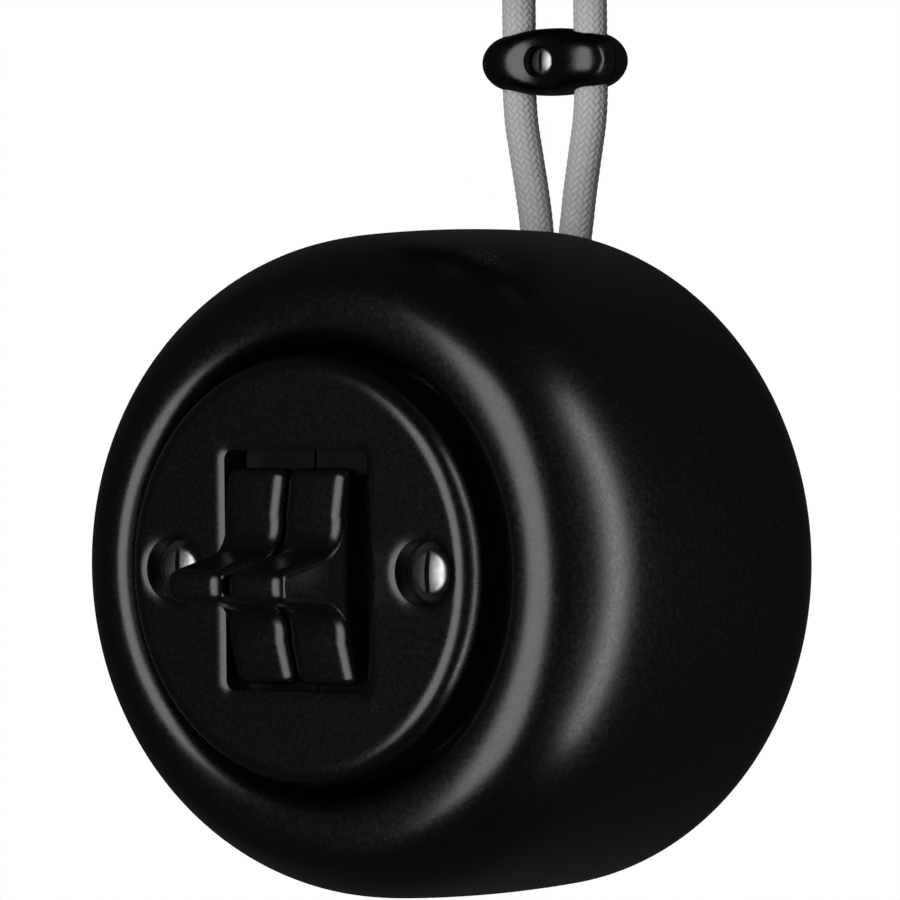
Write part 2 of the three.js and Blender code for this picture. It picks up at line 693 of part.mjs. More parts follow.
function saddle() {
  const [low, high] = [SADDLE_HEIGHT - SADDLE_HALF_HEIGHT, SADDLE_HEIGHT + SADDLE_HALF_HEIGHT];
  const plate = box(-14, 14, SADDLE_FRONT, SADDLE_REAR, low, high);
  const reach = CORD_PINCH + CORD_RADIUS + GAP;
  const floor = CLAMPED_DEPTH + CORD_RADIUS + 2 * GAP;
  const relief = box(-reach, reach, SADDLE_FRONT - 1, floor, low - 1, high + 1);
  const holes = SIDES.map(([, side]) => {
    return rodY(1.8, SADDLE_FRONT - 1, SADDLE_REAR + 1, side * SADDLE_SCREW_SPREAD, SADDLE_HEIGHT);
  });
  return cut(plate, relief, ...holes);
}

place(drum, 'cord_saddle', saddle(), MOULDING);

for (const [side, sign] of SIDES) {
  const mesh = place(drum, `saddle_screw_${side}`, slottedScrew(2.8, 0, 1.9, 1.35, 13, 0, 0, 0.7), STEEL);
  mesh.rotation.z = Math.PI;
  mesh.position.set(sign * SADDLE_SCREW_SPREAD, SADDLE_REAR + GAP + 1.9, SADDLE_HEIGHT);
}

// ---------------------------------------------------------------- cords and their cores

const CLAMP_TOP = CLAMP_RISE + CLAMP_HEIGHT / 2;
const CLAMP_BOTTOM = CLAMP_RISE - CLAMP_HEIGHT / 2;

// Middle line of a cord from the ceiling cup to its end inside the drum, in the root's frame.
function cordRoute(side) {
  const inDrum = (x, depth, height) => [side * x, depth - CORD_DEPTH, height - AXIS_DROP];
  return [
    [side * CORD_SPREAD, 0, CORD_TOP],
    [side * CORD_SPREAD, 0, CORD_TOP - 11],
    inDrum(CORD_SPREAD, CORD_DEPTH, CLAMP_TOP + 3),
    inDrum(CORD_SPREAD, CORD_DEPTH, CLAMP_RISE),
    inDrum(CORD_SPREAD, CORD_DEPTH, CLAMP_BOTTOM),
    inDrum(6.95, CORD_DEPTH, 73),
    inDrum(5.9, CORD_DEPTH, 67),
    inDrum(4.85, CORD_DEPTH, 61),
    inDrum(4.2, CORD_DEPTH, 56.5),
    inDrum(3.7, CORD_DEPTH - 0.4, 52),
    inDrum(CORD_PINCH, CORD_DEPTH - 2.2, 46.5),
    inDrum(CORD_PINCH, CORD_DEPTH - 5.2, 41),
    inDrum(CORD_PINCH, CORD_DEPTH - 8.7, 36.5),
    inDrum(CORD_PINCH, CLAMPED_DEPTH + 0.35, 32),
    inDrum(CORD_PINCH, CLAMPED_DEPTH, SADDLE_HEIGHT),
    inDrum(CORD_PINCH, CLAMPED_DEPTH, SADDLE_HEIGHT - 7),
  ];
}

for (const [side, sign] of SIDES) {
  place(root, `cord_${side}`, tube(cordRoute(sign), CORD_RADIUS, 30, TINY_SIDES), TEXTILE);
}

// Two insulated cores run from each cord's end to its pair of terminals.
const CORE_RADIUS = 0.9;
const CORD_END = SADDLE_HEIGHT - 7 - GAP;
for (const [side, sign] of SIDES) {
  const x = sign * ROCKER_CENTRE;
  ['upper', 'common'].forEach((target, i) => {
    const z = terminalHeights[i];
    const start = sign * (CORD_PINCH + 1.2 - 2.4 * i);
    const route = [
      [start, CLAMPED_DEPTH, CORD_END],
      [start, CLAMPED_DEPTH - 0.5, CORD_END - 4 - 5 * i],
      [sign * 14, CLAMPED_DEPTH - 10, (CORD_END + z) / 2 - 3 * i],
      [x + sign * 11, WIRE_DEPTH + 2, z],
      [x + sign * 7, WIRE_DEPTH, z],
      [x + sign * 1.5, WIRE_DEPTH, z],
    ];
    place(drum, `core_${side}_${target}`, tube(route, CORE_RADIUS, 12, 8), SHEATH);
  });
}

// ---------------------------------------------------------------- cord clamp

const clamp = new THREE.Group();
clamp.position.set(0, 0, CLAMP_RISE - AXIS_DROP);
root.add(clamp);

// Front outline of the clamp, shrunk by its rounded edge: highest over the screw, round at both ends.
function clampOutline() {
  const half = CLAMP_LENGTH / 2 - CLAMP_ROUND;
  const middle = CLAMP_HEIGHT / 2 - CLAMP_ROUND;
  const end = CLAMP_END_HEIGHT / 2 - CLAMP_ROUND;
  const shape = new THREE.Shape();
  shape.moveTo(half - end, -end);
  shape.absarc(half - end, 0, end, -Math.PI / 2, Math.PI / 2);
  shape.quadraticCurveTo(0, 2 * middle - end, end - half, end);
  shape.absarc(end - half, 0, end, Math.PI / 2, 1.5 * Math.PI);
  shape.quadraticCurveTo(0, end - 2 * middle, half - end, -end);
  return shape;
}

function clampHalf(front) {
  const slab = new THREE.ExtrudeGeometry(clampOutline(), {
    depth: CLAMP_THICK - 2 * CLAMP_ROUND,
    bevelEnabled: true,
    bevelThickness: CLAMP_ROUND,
    bevelSize: CLAMP_ROUND,
    bevelSegments: 3,
    curveSegments: 4,
  });
  slab.applyMatrix4(ALONG_Y).translate(0, CLAMP_THICK / 2 - CLAMP_ROUND, 0);
  const half = front ? box(-20, 20, -10, -GAP / 2, -10, 10) : box(-20, 20, GAP / 2, 10, -10, 10);
  const waistY = (front ? -1 : 1) * (CLAMP_THICK / 2 - CLAMP_WAIST + CLAMP_WAIST_ROUND);
  let body = cut(solid(slab).intersect(half), rodZ(CLAMP_WAIST_ROUND, -10, 10, 0, waistY, LARGE_SIDES));
  for (const [, sign] of SIDES) {
    body = cut(body, rodZ(CORD_RADIUS + GAP, -10, 10, sign * CORD_SPREAD));
  }
  body = cut(body, rodY(1.75, -10, 10, 0, 0, TINY_SIDES));
  if (front) return cut(body, rodY(2.75, -10, -CLAMP_SCREW_SEAT));
  return cut(body, box(-2.9, 2.9, CLAMP_NUT_SEAT, 10, -2.9, 2.9));
}

place(clamp, 'clamp_front', clampHalf(true), PORCELAIN);
place(clamp, 'clamp_rear', clampHalf(false), PORCELAIN);
const clampScrewSeat = -CLAMP_SCREW_SEAT - GAP;
const clampScrew = slottedScrew(2.4, clampScrewSeat - 1.4, clampScrewSeat, 1.45, 4.6, 0, 0, 0.7);
place(clamp, 'clamp_screw', clampScrew, NICKEL);

const clampNut = box(-2.6, 2.6, CLAMP_NUT_SEAT + GAP, CLAMP_NUT_SEAT + 2.1, -2.6, 2.6);
place(clamp, 'clamp_nut', cut(clampNut, rodY(1.7, 0, 8, 0, 0, TINY_SIDES)), STEEL);

// ---------------------------------------------------------------- ceiling cup

function ceilingCup() {
  const bottom = -CUP_HEIGHT;
  const inner = CUP_RADIUS - CUP_WALL;
  const centre = [CUP_RADIUS - 1 - CUP_EDGE_RADIUS, bottom + CUP_EDGE_RADIUS];
  const corner = (round) => arc(centre[0], -centre[1], round, 90, 180, 5).map(([radius, y]) => [radius, -y]);
  const profile = [
    [inner, 0],
    [CUP_RADIUS - 0.6, 0],
    [CUP_RADIUS, -0.8],
    ...corner(CUP_EDGE_RADIUS),
    [0, bottom],
    [0, bottom + CUP_WALL],
    ...corner(CUP_EDGE_RADIUS - CUP_WALL).reverse(),
    [inner, 0],
  ];
  let body = turnedZ(profile, CUP_SIDES);
  for (const [, sign] of SIDES) {
    body = cut(body, rodZ(5.2, bottom - 1, bottom + CUP_WALL + 1, sign * CORD_SPREAD));
    const [x0, x1] = sign > 0 ? [20, 40] : [-40, -20];
    body = cut(body, rodX(2, x0, x1, 0, -CUP_SCREW_DROP, TINY_SIDES));
  }
  return body;
}

place(root, 'ceiling_cup', ceilingCup(), PORCELAIN);

function ceilingBracket() {
  const end = BRACKET_LENGTH / 2;
  let body = box(-end, end, -BRACKET_WIDTH / 2, BRACKET_WIDTH / 2, -BRACKET_SHEET, 0);
  for (const [, sign] of SIDES) {
    const [x0, x1] = sign > 0 ? [end - BRACKET_SHEET, end] : [-end, -end + BRACKET_SHEET];
    body = body.add(box(x0, x1, -5, 5, -BRACKET_EAR, -BRACKET_SHEET + 0.5));
    body = cut(body, rodX(1.7, sign * end - 4, sign * end + 4, 0, -CUP_SCREW_DROP, TINY_SIDES));
    const slot = roundedRectangle(8, 4.6, 2.25);
    const slotCut = new THREE.ExtrudeGeometry(slot, { depth: 6, bevelEnabled: false, curveSegments: 4 });
    body = cut(body, solid(slotCut.translate(sign * 16, 0, -4)));
  }
  return cut(body, rodZ(1.5, -3, -0.7, 0, 0, TINY_SIDES));
}

place(root, 'ceiling_bracket', ceilingBracket(), STEEL);

function cupScrew() {
  const profile = [[0, 0], [2.0, 0.3], [3, 1.2], [3, 2.2], [1.35, 2.2], [1.35, 9.5], [0, 9.5]];
  const body = turnedZ(profile, SMALL_SIDES);
  return cut(body, box(-0.35, 0.35, -4, 4, -1, 1.1));
}

for (const [side, sign] of SIDES) {
  const mesh = place(root, `cup_screw_${side}`, cupScrew(), NICKEL);
  mesh.rotation.y = (-sign * Math.PI) / 2;
  mesh.position.set(sign * (CUP_RADIUS + 2.3), 0, -CUP_SCREW_DROP);
}

// Grommets where the cords leave the cup, and the collars that stop them from pulling through.
const BUSH_BORE = CORD_RADIUS + GAP;
for (const [side, sign] of SIDES) {
  const under = -CUP_HEIGHT - GAP;
  const bush = turnedZ(
    [
      [BUSH_BORE, under - 3.4],
      [4.3, under - 3.4],
      [5.4, under - 1.6],
      [6.5, under - 0.8],
      [6.5, under],
      [4.9, under],
      [4.9, -CUP_HEIGHT + CUP_WALL],
      [BUSH_BORE, -CUP_HEIGHT + CUP_WALL],
      [BUSH_BORE, under - 3.4],
    ],
    SMALL_SIDES,
    sign * CORD_SPREAD,
    0,
  );
  place(root, `cord_bush_${side}`, bush, MOULDING);
  const floor = -CUP_HEIGHT + CUP_WALL + GAP;
  const collar = turnedZ(
    [[BUSH_BORE, floor], [5.6, floor], [5.6, floor + 3.4], [BUSH_BORE, floor + 3.4], [BUSH_BORE, floor]],
    SMALL_SIDES,
    sign * CORD_SPREAD,
    0,
  );
  place(root, `cord_collar_${side}`, collar, BRASS);
}

function connectorBlock() {
  const top = -BRACKET_SHEET - GAP;
  let body = box(-12, 12, -5.5, 5.5, top - 10.5, top);
  for (const x of [-8, 8]) {
    const wireHole = rodZ(1.6, top - 12, top - 4, x, 0, TINY_SIDES);
    const screwHole = rodY(1.4, -7, 0, x, top - 6.5, TINY_SIDES);
    body = cut(body, wireHole, screwHole);
  }
  const headRoom = rodZ(2.9, top - 12, top - 3, 0, 0, TINY_SIDES);
  return cut(body, headRoom, rodZ(1.7, top - 4, top + 1, 0, 0, TINY_SIDES));
}

place(root, 'connector_block', connectorBlock(), MOULDING);

const BLOCK_SCREW_SEAT = -BRACKET_SHEET - 2 * GAP - 3;
const blockScrew = joined(
  rodZ(2.5, BLOCK_SCREW_SEAT - 2, BLOCK_SCREW_SEAT, 0, 0, TINY_SIDES),
  rodZ(1.25, BLOCK_SCREW_SEAT - 1, -1, 0, 0, TINY_SIDES),
);
place(root, 'block_screw', blockScrew, STEEL);

export default root;
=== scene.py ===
"""Looks for a suspended double toggle switch: glazed porcelain, nickel screws and braided cords.

Lengths named here are millimetres unless a comment says otherwise. Every mesh is built in metres.
A drum profile is a list of (radius, depth) points about the drum's horizontal axis, where depth
runs back from a plane just under the rosette's face.
"""
import json
import math

import bmesh
import bpy
import numpy as np
from mathutils import Matrix, Vector
from mathutils.geometry import delaunay_2d_cdt


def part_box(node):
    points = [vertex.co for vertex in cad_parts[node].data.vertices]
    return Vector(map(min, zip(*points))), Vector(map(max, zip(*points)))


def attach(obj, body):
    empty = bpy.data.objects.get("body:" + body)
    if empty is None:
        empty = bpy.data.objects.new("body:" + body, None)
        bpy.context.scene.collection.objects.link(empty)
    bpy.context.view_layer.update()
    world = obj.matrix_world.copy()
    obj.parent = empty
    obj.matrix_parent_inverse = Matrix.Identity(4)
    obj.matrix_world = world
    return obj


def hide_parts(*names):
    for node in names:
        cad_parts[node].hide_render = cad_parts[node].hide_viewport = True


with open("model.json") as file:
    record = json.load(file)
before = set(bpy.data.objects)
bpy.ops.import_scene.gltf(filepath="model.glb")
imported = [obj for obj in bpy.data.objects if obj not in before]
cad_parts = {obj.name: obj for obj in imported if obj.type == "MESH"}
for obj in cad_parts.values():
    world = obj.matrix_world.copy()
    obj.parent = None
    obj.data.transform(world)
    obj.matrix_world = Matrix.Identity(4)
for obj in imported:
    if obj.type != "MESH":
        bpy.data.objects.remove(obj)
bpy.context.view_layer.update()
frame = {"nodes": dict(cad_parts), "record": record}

MM = 0.001
ROOT = "suspended_switch"
CLAMP = "cord_clamp"
SIDES = (("left", -1), ("right", 1))

# ------------------------------------------------------------------ places taken from the frame

ROSETTE_FACE = -0.75  # depth of the rosette's flat face

rosette_low, rosette_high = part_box("rosette")
housing_low, housing_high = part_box("housing")
AXIS_Z = (rosette_low.z + rosette_high.z) / 2
DEPTH_ZERO = rosette_low.y - ROSETTE_FACE * MM
ROSETTE_RADIUS = (rosette_high.x - rosette_low.x) / 2 / MM
LIP_DEPTH = (housing_low.y - DEPTH_ZERO) / MM
BACK_DEPTH = (housing_high.y - DEPTH_ZERO) / MM
CENTRE = Vector((0, DEPTH_ZERO, AXIS_Z))


def in_drum(x, depth, height):
    """A point of the drum, given in millimetres, in the row frame."""
    return Vector((x * MM, DEPTH_ZERO + depth * MM, AXIS_Z + height * MM))


# ------------------------------------------------------------------ camera

VIEW_TURN = math.radians(36.0)
VIEW_TILT = math.radians(-0.99)
VIEW_DISTANCE = 0.9719  # metres, as are the next two
CENTRE_ACROSS = -0.0243  # where the drum's reference point sits from the middle of the view
CENTRE_UP = -0.01921
FOCAL_LENGTH = 244.9
SENSOR = 36.0


def make_camera():
    right = Vector((math.cos(VIEW_TURN), math.sin(VIEW_TURN), 0))
    forward = Vector((-math.sin(VIEW_TURN), math.cos(VIEW_TURN), 0))
    up = Vector((0, 0, 1))
    data = bpy.data.cameras.new("camera")
    data.lens = FOCAL_LENGTH
    data.sensor_width = SENSOR
    data.clip_start = 0.05
    data.clip_end = 20
    camera = bpy.data.objects.new("camera", data)
    bpy.context.scene.collection.objects.link(camera)
    place = -CENTRE_ACROSS * right - CENTRE_UP * up - VIEW_DISTANCE * forward
    basis = Matrix((right, up, -forward)).transposed().to_4x4()
    tilt = Matrix.Rotation(VIEW_TILT, 4, "X")
    camera.matrix_world = Matrix.Translation(CENTRE) @ tilt @ Matrix.Translation(place) @ basis
    bpy.context.scene.camera = camera


make_camera()

# ------------------------------------------------------------------ material nodes


class Surface:
    """A Principled material with a few short ways of adding its nodes."""

    def __init__(self, name, color, roughness, metallic=0.0, **settings):
        self.material = bpy.data.materials.new(name)
        self.material.use_nodes = True
        self.tree = self.material.node_tree
        self.shader = self.tree.nodes["Principled BSDF"]
        self.shader.inputs["Base Color"].default_value = (*color, 1)
        self.shader.inputs["Roughness"].default_value = roughness
        self.shader.inputs["Metallic"].default_value = metallic
        for socket, value in settings.items():
            self.shader.inputs[socket.replace("_", " ")].default_value = value

    def node(self, kind, **settings):
        made = self.tree.nodes.new(kind)
        for key, value in settings.items():
            if hasattr(made, key):
                setattr(made, key, value)
            else:
                made.inputs[key].default_value = value
        return made

    def link(self, output, target):
        self.tree.links.new(output, target)

    def place(self, stretch=(1, 1, 1)):
        """Object coordinates, stretched."""
        where = self.node("ShaderNodeTexCoord").outputs["Object"]
        mapping = self.node("ShaderNodeMapping")
        mapping.inputs["Scale"].default_value = stretch
        self.link(where, mapping.inputs["Vector"])
        return mapping.outputs["Vector"]

    def noise(self, per_metre, detail=2.0, stretch=(1, 1, 1)):
        texture = self.node("ShaderNodeTexNoise", Scale=per_metre, Detail=detail)
        self.link(self.place(stretch), texture.inputs["Vector"])
        return texture.outputs["Fac"]

    def spread(self, value, low, high, start=0.3, end=0.7):
        """value, running from start to end, as a number from low to high."""
        ranged = self.node("ShaderNodeMapRange")
        for socket, number in zip(("From Min", "From Max", "To Min", "To Max"), (start, end, low, high)):
            ranged.inputs[socket].default_value = number
        self.link(value, ranged.inputs["Value"])
        return ranged.outputs["Result"]

    def math(self, operation, first, second):
        made = self.node("ShaderNodeMath", operation=operation)
        for socket, value in zip(made.inputs, (first, second)):
            if isinstance(value, (int, float)):
                socket.default_value = value
            else:
                self.link(value, socket)
        return made.outputs[0]

    def color(self, value, *stops):
        """A colour ramp of (position, colour) stops into the base colour."""
        ramp = self.node("ShaderNodeValToRGB")
        while len(ramp.color_ramp.elements) < len(stops):
            ramp.color_ramp.elements.new(0.5)
        for element, (position, rgb) in zip(ramp.color_ramp.elements, stops):
            element.position = position
            element.color = (*rgb, 1)
        self.link(value, ramp.inputs["Fac"])
        self.link(ramp.outputs["Color"], self.shader.inputs["Base Color"])

    def rough(self, value, low, high):
        self.link(self.spread(value, low, high), self.shader.inputs["Roughness"])

    def bump(self, height, depth, strength=1.0, under=None):
        made = self.node("ShaderNodeBump", Strength=strength, Distance=depth)
        self.link(height, made.inputs["Height"])
        if under is not None:
            self.link(under, made.inputs["Normal"])
        self.link(made.outputs["Normal"], self.shader.inputs["Normal"])
        return made.outputs["Normal"]


def glazed_porcelain():
    """Black glaze: satin, with a fine grain, faint mottling, and sharp edges painted paler: partly a thinner
    glaze film, partly a painted highlight.
    """
    s = Surface("black_glaze", (0.0008, 0.0008, 0.0008), 0.27, Specular_IOR_Level=0.5)
    mottle = s.noise(260, 4.0)
    # Pointiness lifts the colour on sharp edges: partly a thinner glaze film there, partly a painted
    # highlight.
    edge = s.node("ShaderNodeNewGeometry").outputs["Pointiness"]
    thin_glaze_and_edge_highlight = s.spread(edge, 0.0, 0.6, 0.53, 0.62)
    tone = s.math("ADD", s.math("MULTIPLY", mottle, 0.5), thin_glaze_and_edge_highlight)
    s.color(
        tone,
        (0.0, (0.0005, 0.0005, 0.0005)),
        (0.45, (0.0010, 0.0010, 0.0010)),
        (1.0, (0.005, 0.005, 0.0048)),
    )
    s.rough(s.noise(1500, 3.0), 0.22, 0.31)
    orange_peel = s.bump(s.noise(420, 2.0), 0.00002, 0.6)
    s.bump(s.noise(5600, 2.0), 0.000013, 0.9, orange_peel)
    return s.material


def nickel():
    """Satin nickel on a turned and slotted head: ring marks from turning and faint scratches."""
    s = Surface("nickel_plate", (0.30, 0.30, 0.295), 0.36, 1.0)
    rings = s.node("ShaderNodeTexWave", wave_type="RINGS", rings_direction="Y", Scale=1500.0, Distortion=1.5)
    s.link(s.place(), rings.inputs["Vector"])
    scratches = s.noise(900, 3.0, (14, 1, 1))
    s.color(s.noise(700, 3.0), (0.25, (0.23, 0.23, 0.226)), (0.7, (0.34, 0.34, 0.334)))
    s.rough(scratches, 0.28, 0.44)
    turned = s.bump(rings.outputs["Fac"], 0.000004, 0.7)
    s.bump(scratches, 0.00001, 0.8, turned)
    return s.material


def painted_slot_shade_nickel():
    """The same plating inside a slot, darkened: painted shade in the slot's hollow."""
    s = Surface("painted_slot_shade_nickel", (0.05, 0.05, 0.048), 0.5, 1.0)
    s.color(s.noise(1200, 4.0), (0.3, (0.03, 0.03, 0.029)), (0.7, (0.075, 0.074, 0.070)))
    s.rough(s.noise(2500, 2.0), 0.4, 0.65)
    s.bump(s.noise(3500, 2.0), 0.000006, 0.6)
    return s.material


def pressed_steel(name, tone):
    s = Surface(name, (tone, tone, 1.02 * tone), 0.4, 1.0)
    grain = s.noise(600, 4.0, (1, 1, 9))
    s.color(grain, (0.2, (0.8 * tone,) * 3), (0.8, (1.1 * tone,) * 3))
    s.rough(s.noise(300, 3.0), 0.34, 0.55)
    s.bump(grain, 0.00001, 0.6)
    return s.material


def machined_brass():
    s = Surface("machined_brass", (0.69, 0.52, 0.24), 0.32, 1.0)
    s.color(s.noise(350, 4.0), (0.25, (0.55, 0.39, 0.16)), (0.75, (0.74, 0.57, 0.29)))
    s.rough(s.noise(900, 2.0), 0.26, 0.44)
    s.bump(s.noise(1400, 2.0, (1, 12, 1)), 0.000008, 0.6)
    return s.material


def matt_moulding():
    s = Surface("dark_moulding", (0.003, 0.0028, 0.0026), 0.6, Specular_IOR_Level=0.2)
    s.color(s.noise(500, 5.0), (0.3, (0.0022, 0.0021, 0.0020)), (0.7, (0.0042, 0.0040, 0.0038)))
    s.rough(s.noise(1100, 2.0), 0.5, 0.7)
    s.bump(s.noise(2600, 3.0), 0.000006, 0.5)
    return s.material


def wire_insulation():
    s = Surface("wire_insulation", (0.22, 0.11, 0.06), 0.45)
    s.color(s.noise(250, 3.0), (0.3, (0.17, 0.085, 0.045)), (0.7, (0.27, 0.14, 0.075)))
    s.rough(s.noise(700, 2.0), 0.38, 0.52)
    s.bump(s.noise(1800, 2.0), 0.000008, 0.5)
    return s.material


def braided_textile():
    """Light grey yarn: fine threads along each strand, painted shade darker between strands, and a soft
    sheen.
    """
    s = Surface("grey_textile", (0.42, 0.42, 0.415), 0.85, Sheen_Weight=0.25, Sheen_Roughness=0.45)
    across = s.node("ShaderNodeAttribute", attribute_name="yarn_across").outputs["Fac"]
    along = s.node("ShaderNodeAttribute", attribute_name="yarn_along").outputs["Fac"]
    relief = s.node("ShaderNodeAttribute", attribute_name="relief").outputs["Fac"]
    place = s.node("ShaderNodeCombineXYZ")
    s.link(s.math("MULTIPLY", across, 7.0), place.inputs["X"])
    s.link(s.math("MULTIPLY", along, 0.9), place.inputs["Y"])
    threads = s.node("ShaderNodeTexNoise", Scale=1.0, Detail=2.0)
    s.link(place.outputs["Vector"], threads.inputs["Vector"])
    # The relief darkens the yarn where strands dip, as painted shade between them; the thread noise is the
    # yarn's own tone.
    shade = s.math("ADD", s.math("MULTIPLY", relief, 0.75), s.math("MULTIPLY", threads.outputs["Fac"], 0.35))
    s.color(
        shade,
        (0.12, (0.10, 0.10, 0.099)),
        (0.5, (0.34, 0.34, 0.336)),
        (0.95, (0.52, 0.52, 0.51)),
    )
    s.bump(threads.outputs["Fac"], 0.00005, 0.8)
    return s.material


GLAZE = glazed_porcelain()
NICKEL = nickel()
PAINTED_SLOT_SHADE = painted_slot_shade_nickel()
STEEL = pressed_steel("pressed_steel", 0.52)
SPRING_STEEL = pressed_steel("spring_steel", 0.42)
BRASS = machined_brass()
MOULDING = matt_moulding()
INSULATION = wire_insulation()
TEXTILE = braided_textile()

SLOT_MATERIALS = {
    "black_porcelain": GLAZE,
    "nickel_plate": NICKEL,
    "steel": STEEL,
    "spring_steel": SPRING_STEEL,
    "brass": BRASS,
    "dark_moulding": MOULDING,
    "core_insulation": INSULATION,
    "grey_textile": TEXTILE,
}

# ------------------------------------------------------------------ mesh helpers


def add_object(name, points, faces, material, sharp_above=35.0, origin=None):
    """A smooth-shaded object from points in the row frame; its own origin is put at origin."""
    origin = Vector(origin) if origin is not None else Vector((0, 0, 0))
    mesh = bpy.data.meshes.new(name)
    mesh.from_pydata((np.asarray(points) - np.array(origin)).tolist(), [], faces)
    mesh.materials.append(material)
    mesh.polygons.foreach_set("use_smooth", [True] * len(mesh.polygons))
    mesh.set_sharp_from_angle(angle=math.radians(sharp_above))
    obj = bpy.data.objects.new(name, mesh)
    obj.location = origin
    bpy.context.scene.collection.objects.link(obj)
    return obj


def finish_piece(obj, body, slot, *nodes):
    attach(obj, body)
    if nodes:
        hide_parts(*nodes)
    return obj


def strip_faces(first, second, closed=True):
    """Quads between two rows of point numbers of the same length."""
    count = len(first)
    last = count if closed else count - 1
    return [(first[i], first[(i + 1) % count], second[(i + 1) % count], second[i]) for i in range(last)]


def outward(obj):
    """Turns every face of a closed mesh outwards."""
    work = bmesh.new()
    work.from_mesh(obj.data)
    bmesh.ops.recalc_face_normals(work, faces=work.faces)
    work.to_mesh(obj.data)
    work.free()
    return obj


def carve(obj, *cutters):
    """Cuts the cutters out of obj and throws them away."""
    for cutter in cutters:
        modifier = obj.modifiers.new("carve", "BOOLEAN")
        modifier.operation = "DIFFERENCE"
        modifier.solver = "EXACT"
        modifier.material_mode = "TRANSFER"
        modifier.object = cutter
        bpy.context.view_layer.update()
        evaluated = obj.evaluated_get(bpy.context.evaluated_depsgraph_get())
        mesh = bpy.data.meshes.new_from_object(evaluated)
        obj.modifiers.clear()
        obj.data = mesh
        bpy.data.objects.remove(cutter)
    obj.data.polygons.foreach_set("use_smooth", [True] * len(obj.data.polygons))
    obj.data.set_sharp_from_angle(angle=math.radians(35))
    return obj


def arc(radius, depth, rounding, start, end, steps):
    """Points round an arc. The angle is the outward normal's: 0 faces the front, 90 away from the axis."""
    angles = np.radians(np.linspace(start, end, steps + 1))
    return [(radius + rounding * math.sin(a), depth - rounding * math.cos(a)) for a in angles]


def arc_chain(start, angle, arcs):
    """Arcs that follow one another tangentially from a starting point: (rounding, angle reached, steps)."""
    points = [start]
    for rounding, reached, steps in arcs:
        radius, depth = points[-1]
        turn = math.radians(angle)
        middle = (radius - rounding * math.sin(turn), depth + rounding * math.cos(turn))
        points += arc(*middle, rounding, angle, reached, steps)[1:]
        angle = reached
    return points


def along_y(radius, angle, depth):
    return (radius * np.cos(angle), depth, radius * np.sin(angle))


def along_z(radius, angle, depth):
    return (radius * np.cos(angle), radius * np.sin(angle), depth)


def turned(name, profile, material, origin, sides=160, axis=along_y, closed=False, sharp_above=35.0):
    """A body turned from (radius, depth) points in millimetres, about an axis through origin."""
    angles = np.linspace(0, 2 * math.pi, sides, endpoint=False)
    points, rows = [], []
    for radius, depth in profile:
        if radius < 1e-6:
            rows.append([len(points)] * sides)
            points.append(axis(0.0, 0.0, depth))
        else:
            rows.append(list(range(len(points), len(points) + sides)))
            points += [axis(radius, a, depth) for a in angles]
    faces = []
    pairs = list(zip(rows, rows[1:])) + ([(rows[-1], rows[0])] if closed else [])
    for first, second in pairs:
        for quad in strip_faces(first, second):
            corners = list(dict.fromkeys(quad))
            if len(corners) > 2:
                faces.append(corners)
    place = np.array(points) * MM + np.array(origin)
    return outward(add_object(name, place, faces, material, sharp_above, origin))


def block(name, size, centre, material=GLAZE):
    """A plain cutter block of a size in metres."""
    x, y, z = (s / 2 for s in size)
    points = [(i, j, k) for i in (-x, x) for j in (-y, y) for k in (-z, z)]
    faces = [(0, 1, 3, 2), (4, 6, 7, 5), (0, 4, 5, 1), (2, 3, 7, 6), (0, 2, 6, 4), (1, 5, 7, 3)]
    obj = outward(add_object(name, points, faces, material))
    obj.location = centre
    return obj


def rounded_rectangle(width, height, corner, steps=8):
    """Outline points, anticlockwise."""
    points = []
    for quarter, (sx, sy) in enumerate(((1, 1), (-1, 1), (-1, -1), (1, -1))):
        cx, cy = sx * (width / 2 - corner), sy * (height / 2 - corner)
        for i in range(steps + 1):
            angle = math.pi / 2 * (quarter + i / steps)
            points.append((cx + corner * math.cos(angle), cy + corner * math.sin(angle)))
    return np.array(points)


def divided(loop, step):
    """The outline with points added along its long stretches."""
    points = []
    for a, b in zip(loop, np.roll(loop, -1, 0)):
        parts = max(1, round(float(np.linalg.norm(b - a)) / step))
        points += [a + (b - a) * i / parts for i in range(parts)]
    return np.array(points)


def circle(radius, x=0.0, z=0.0, sides=64):
    angles = np.linspace(0, 2 * math.pi, sides, endpoint=False)
    return np.stack([x + radius * np.cos(angles), z + radius * np.sin(angles)], 1)


def smoothstep(value, start, end):
    t = np.clip((value - start) / (end - start), 0, 1)
    return t * t * (3 - 2 * t)


# ------------------------------------------------------------------ cords

CORD_DIAMETER = 5.7
CORD_ROUTE = (  # the right cord's centre line, from its collar in the cup to the saddle in the drum
    (7.30, 0.00, -17.50),
    (7.30, 0.00, -28.50),
    (7.30, 0.00, -37.15),
    (7.30, 0.00, -45.80),
    (7.30, 0.00, -51.45),
    (6.95, 0.00, -56.00),
    (5.90, 0.00, -62.00),
    (4.85, 0.00, -68.00),
    (4.20, 0.00, -72.50),
    (3.70, -0.40, -77.00),
    (3.30, -2.20, -82.50),
    (3.30, -5.20, -88.00),
    (3.30, -8.70, -92.50),
    (3.30, -10.80, -97.00),
    (3.30, -11.15, -102.00),
    (3.30, -11.15, -109.00),
)
STRANDS = 16  # in each direction
STRAND_PITCH = 1.26  # along the cord, from one strand to the next
STRAND_HEIGHT = 0.14  # of a strand's crown over its edges
STRAND_WEAVE = 0.08  # how far a strand rises and falls as it passes over and under
WEAVE_SHARPNESS = 1.35
BRAID_TWIST = 0.02  # of a turn, so that the two cords' braids don't match
SPLINE_SAMPLES = 40
CORD_COLUMNS = 160
CORD_STEP = 0.12


def between(first, second, start, end, t):
    """The point at t on the straight line that is at first when t is start and at second when it is end."""
    return ((end - t) * first + (t - start) * second) / (end - start)


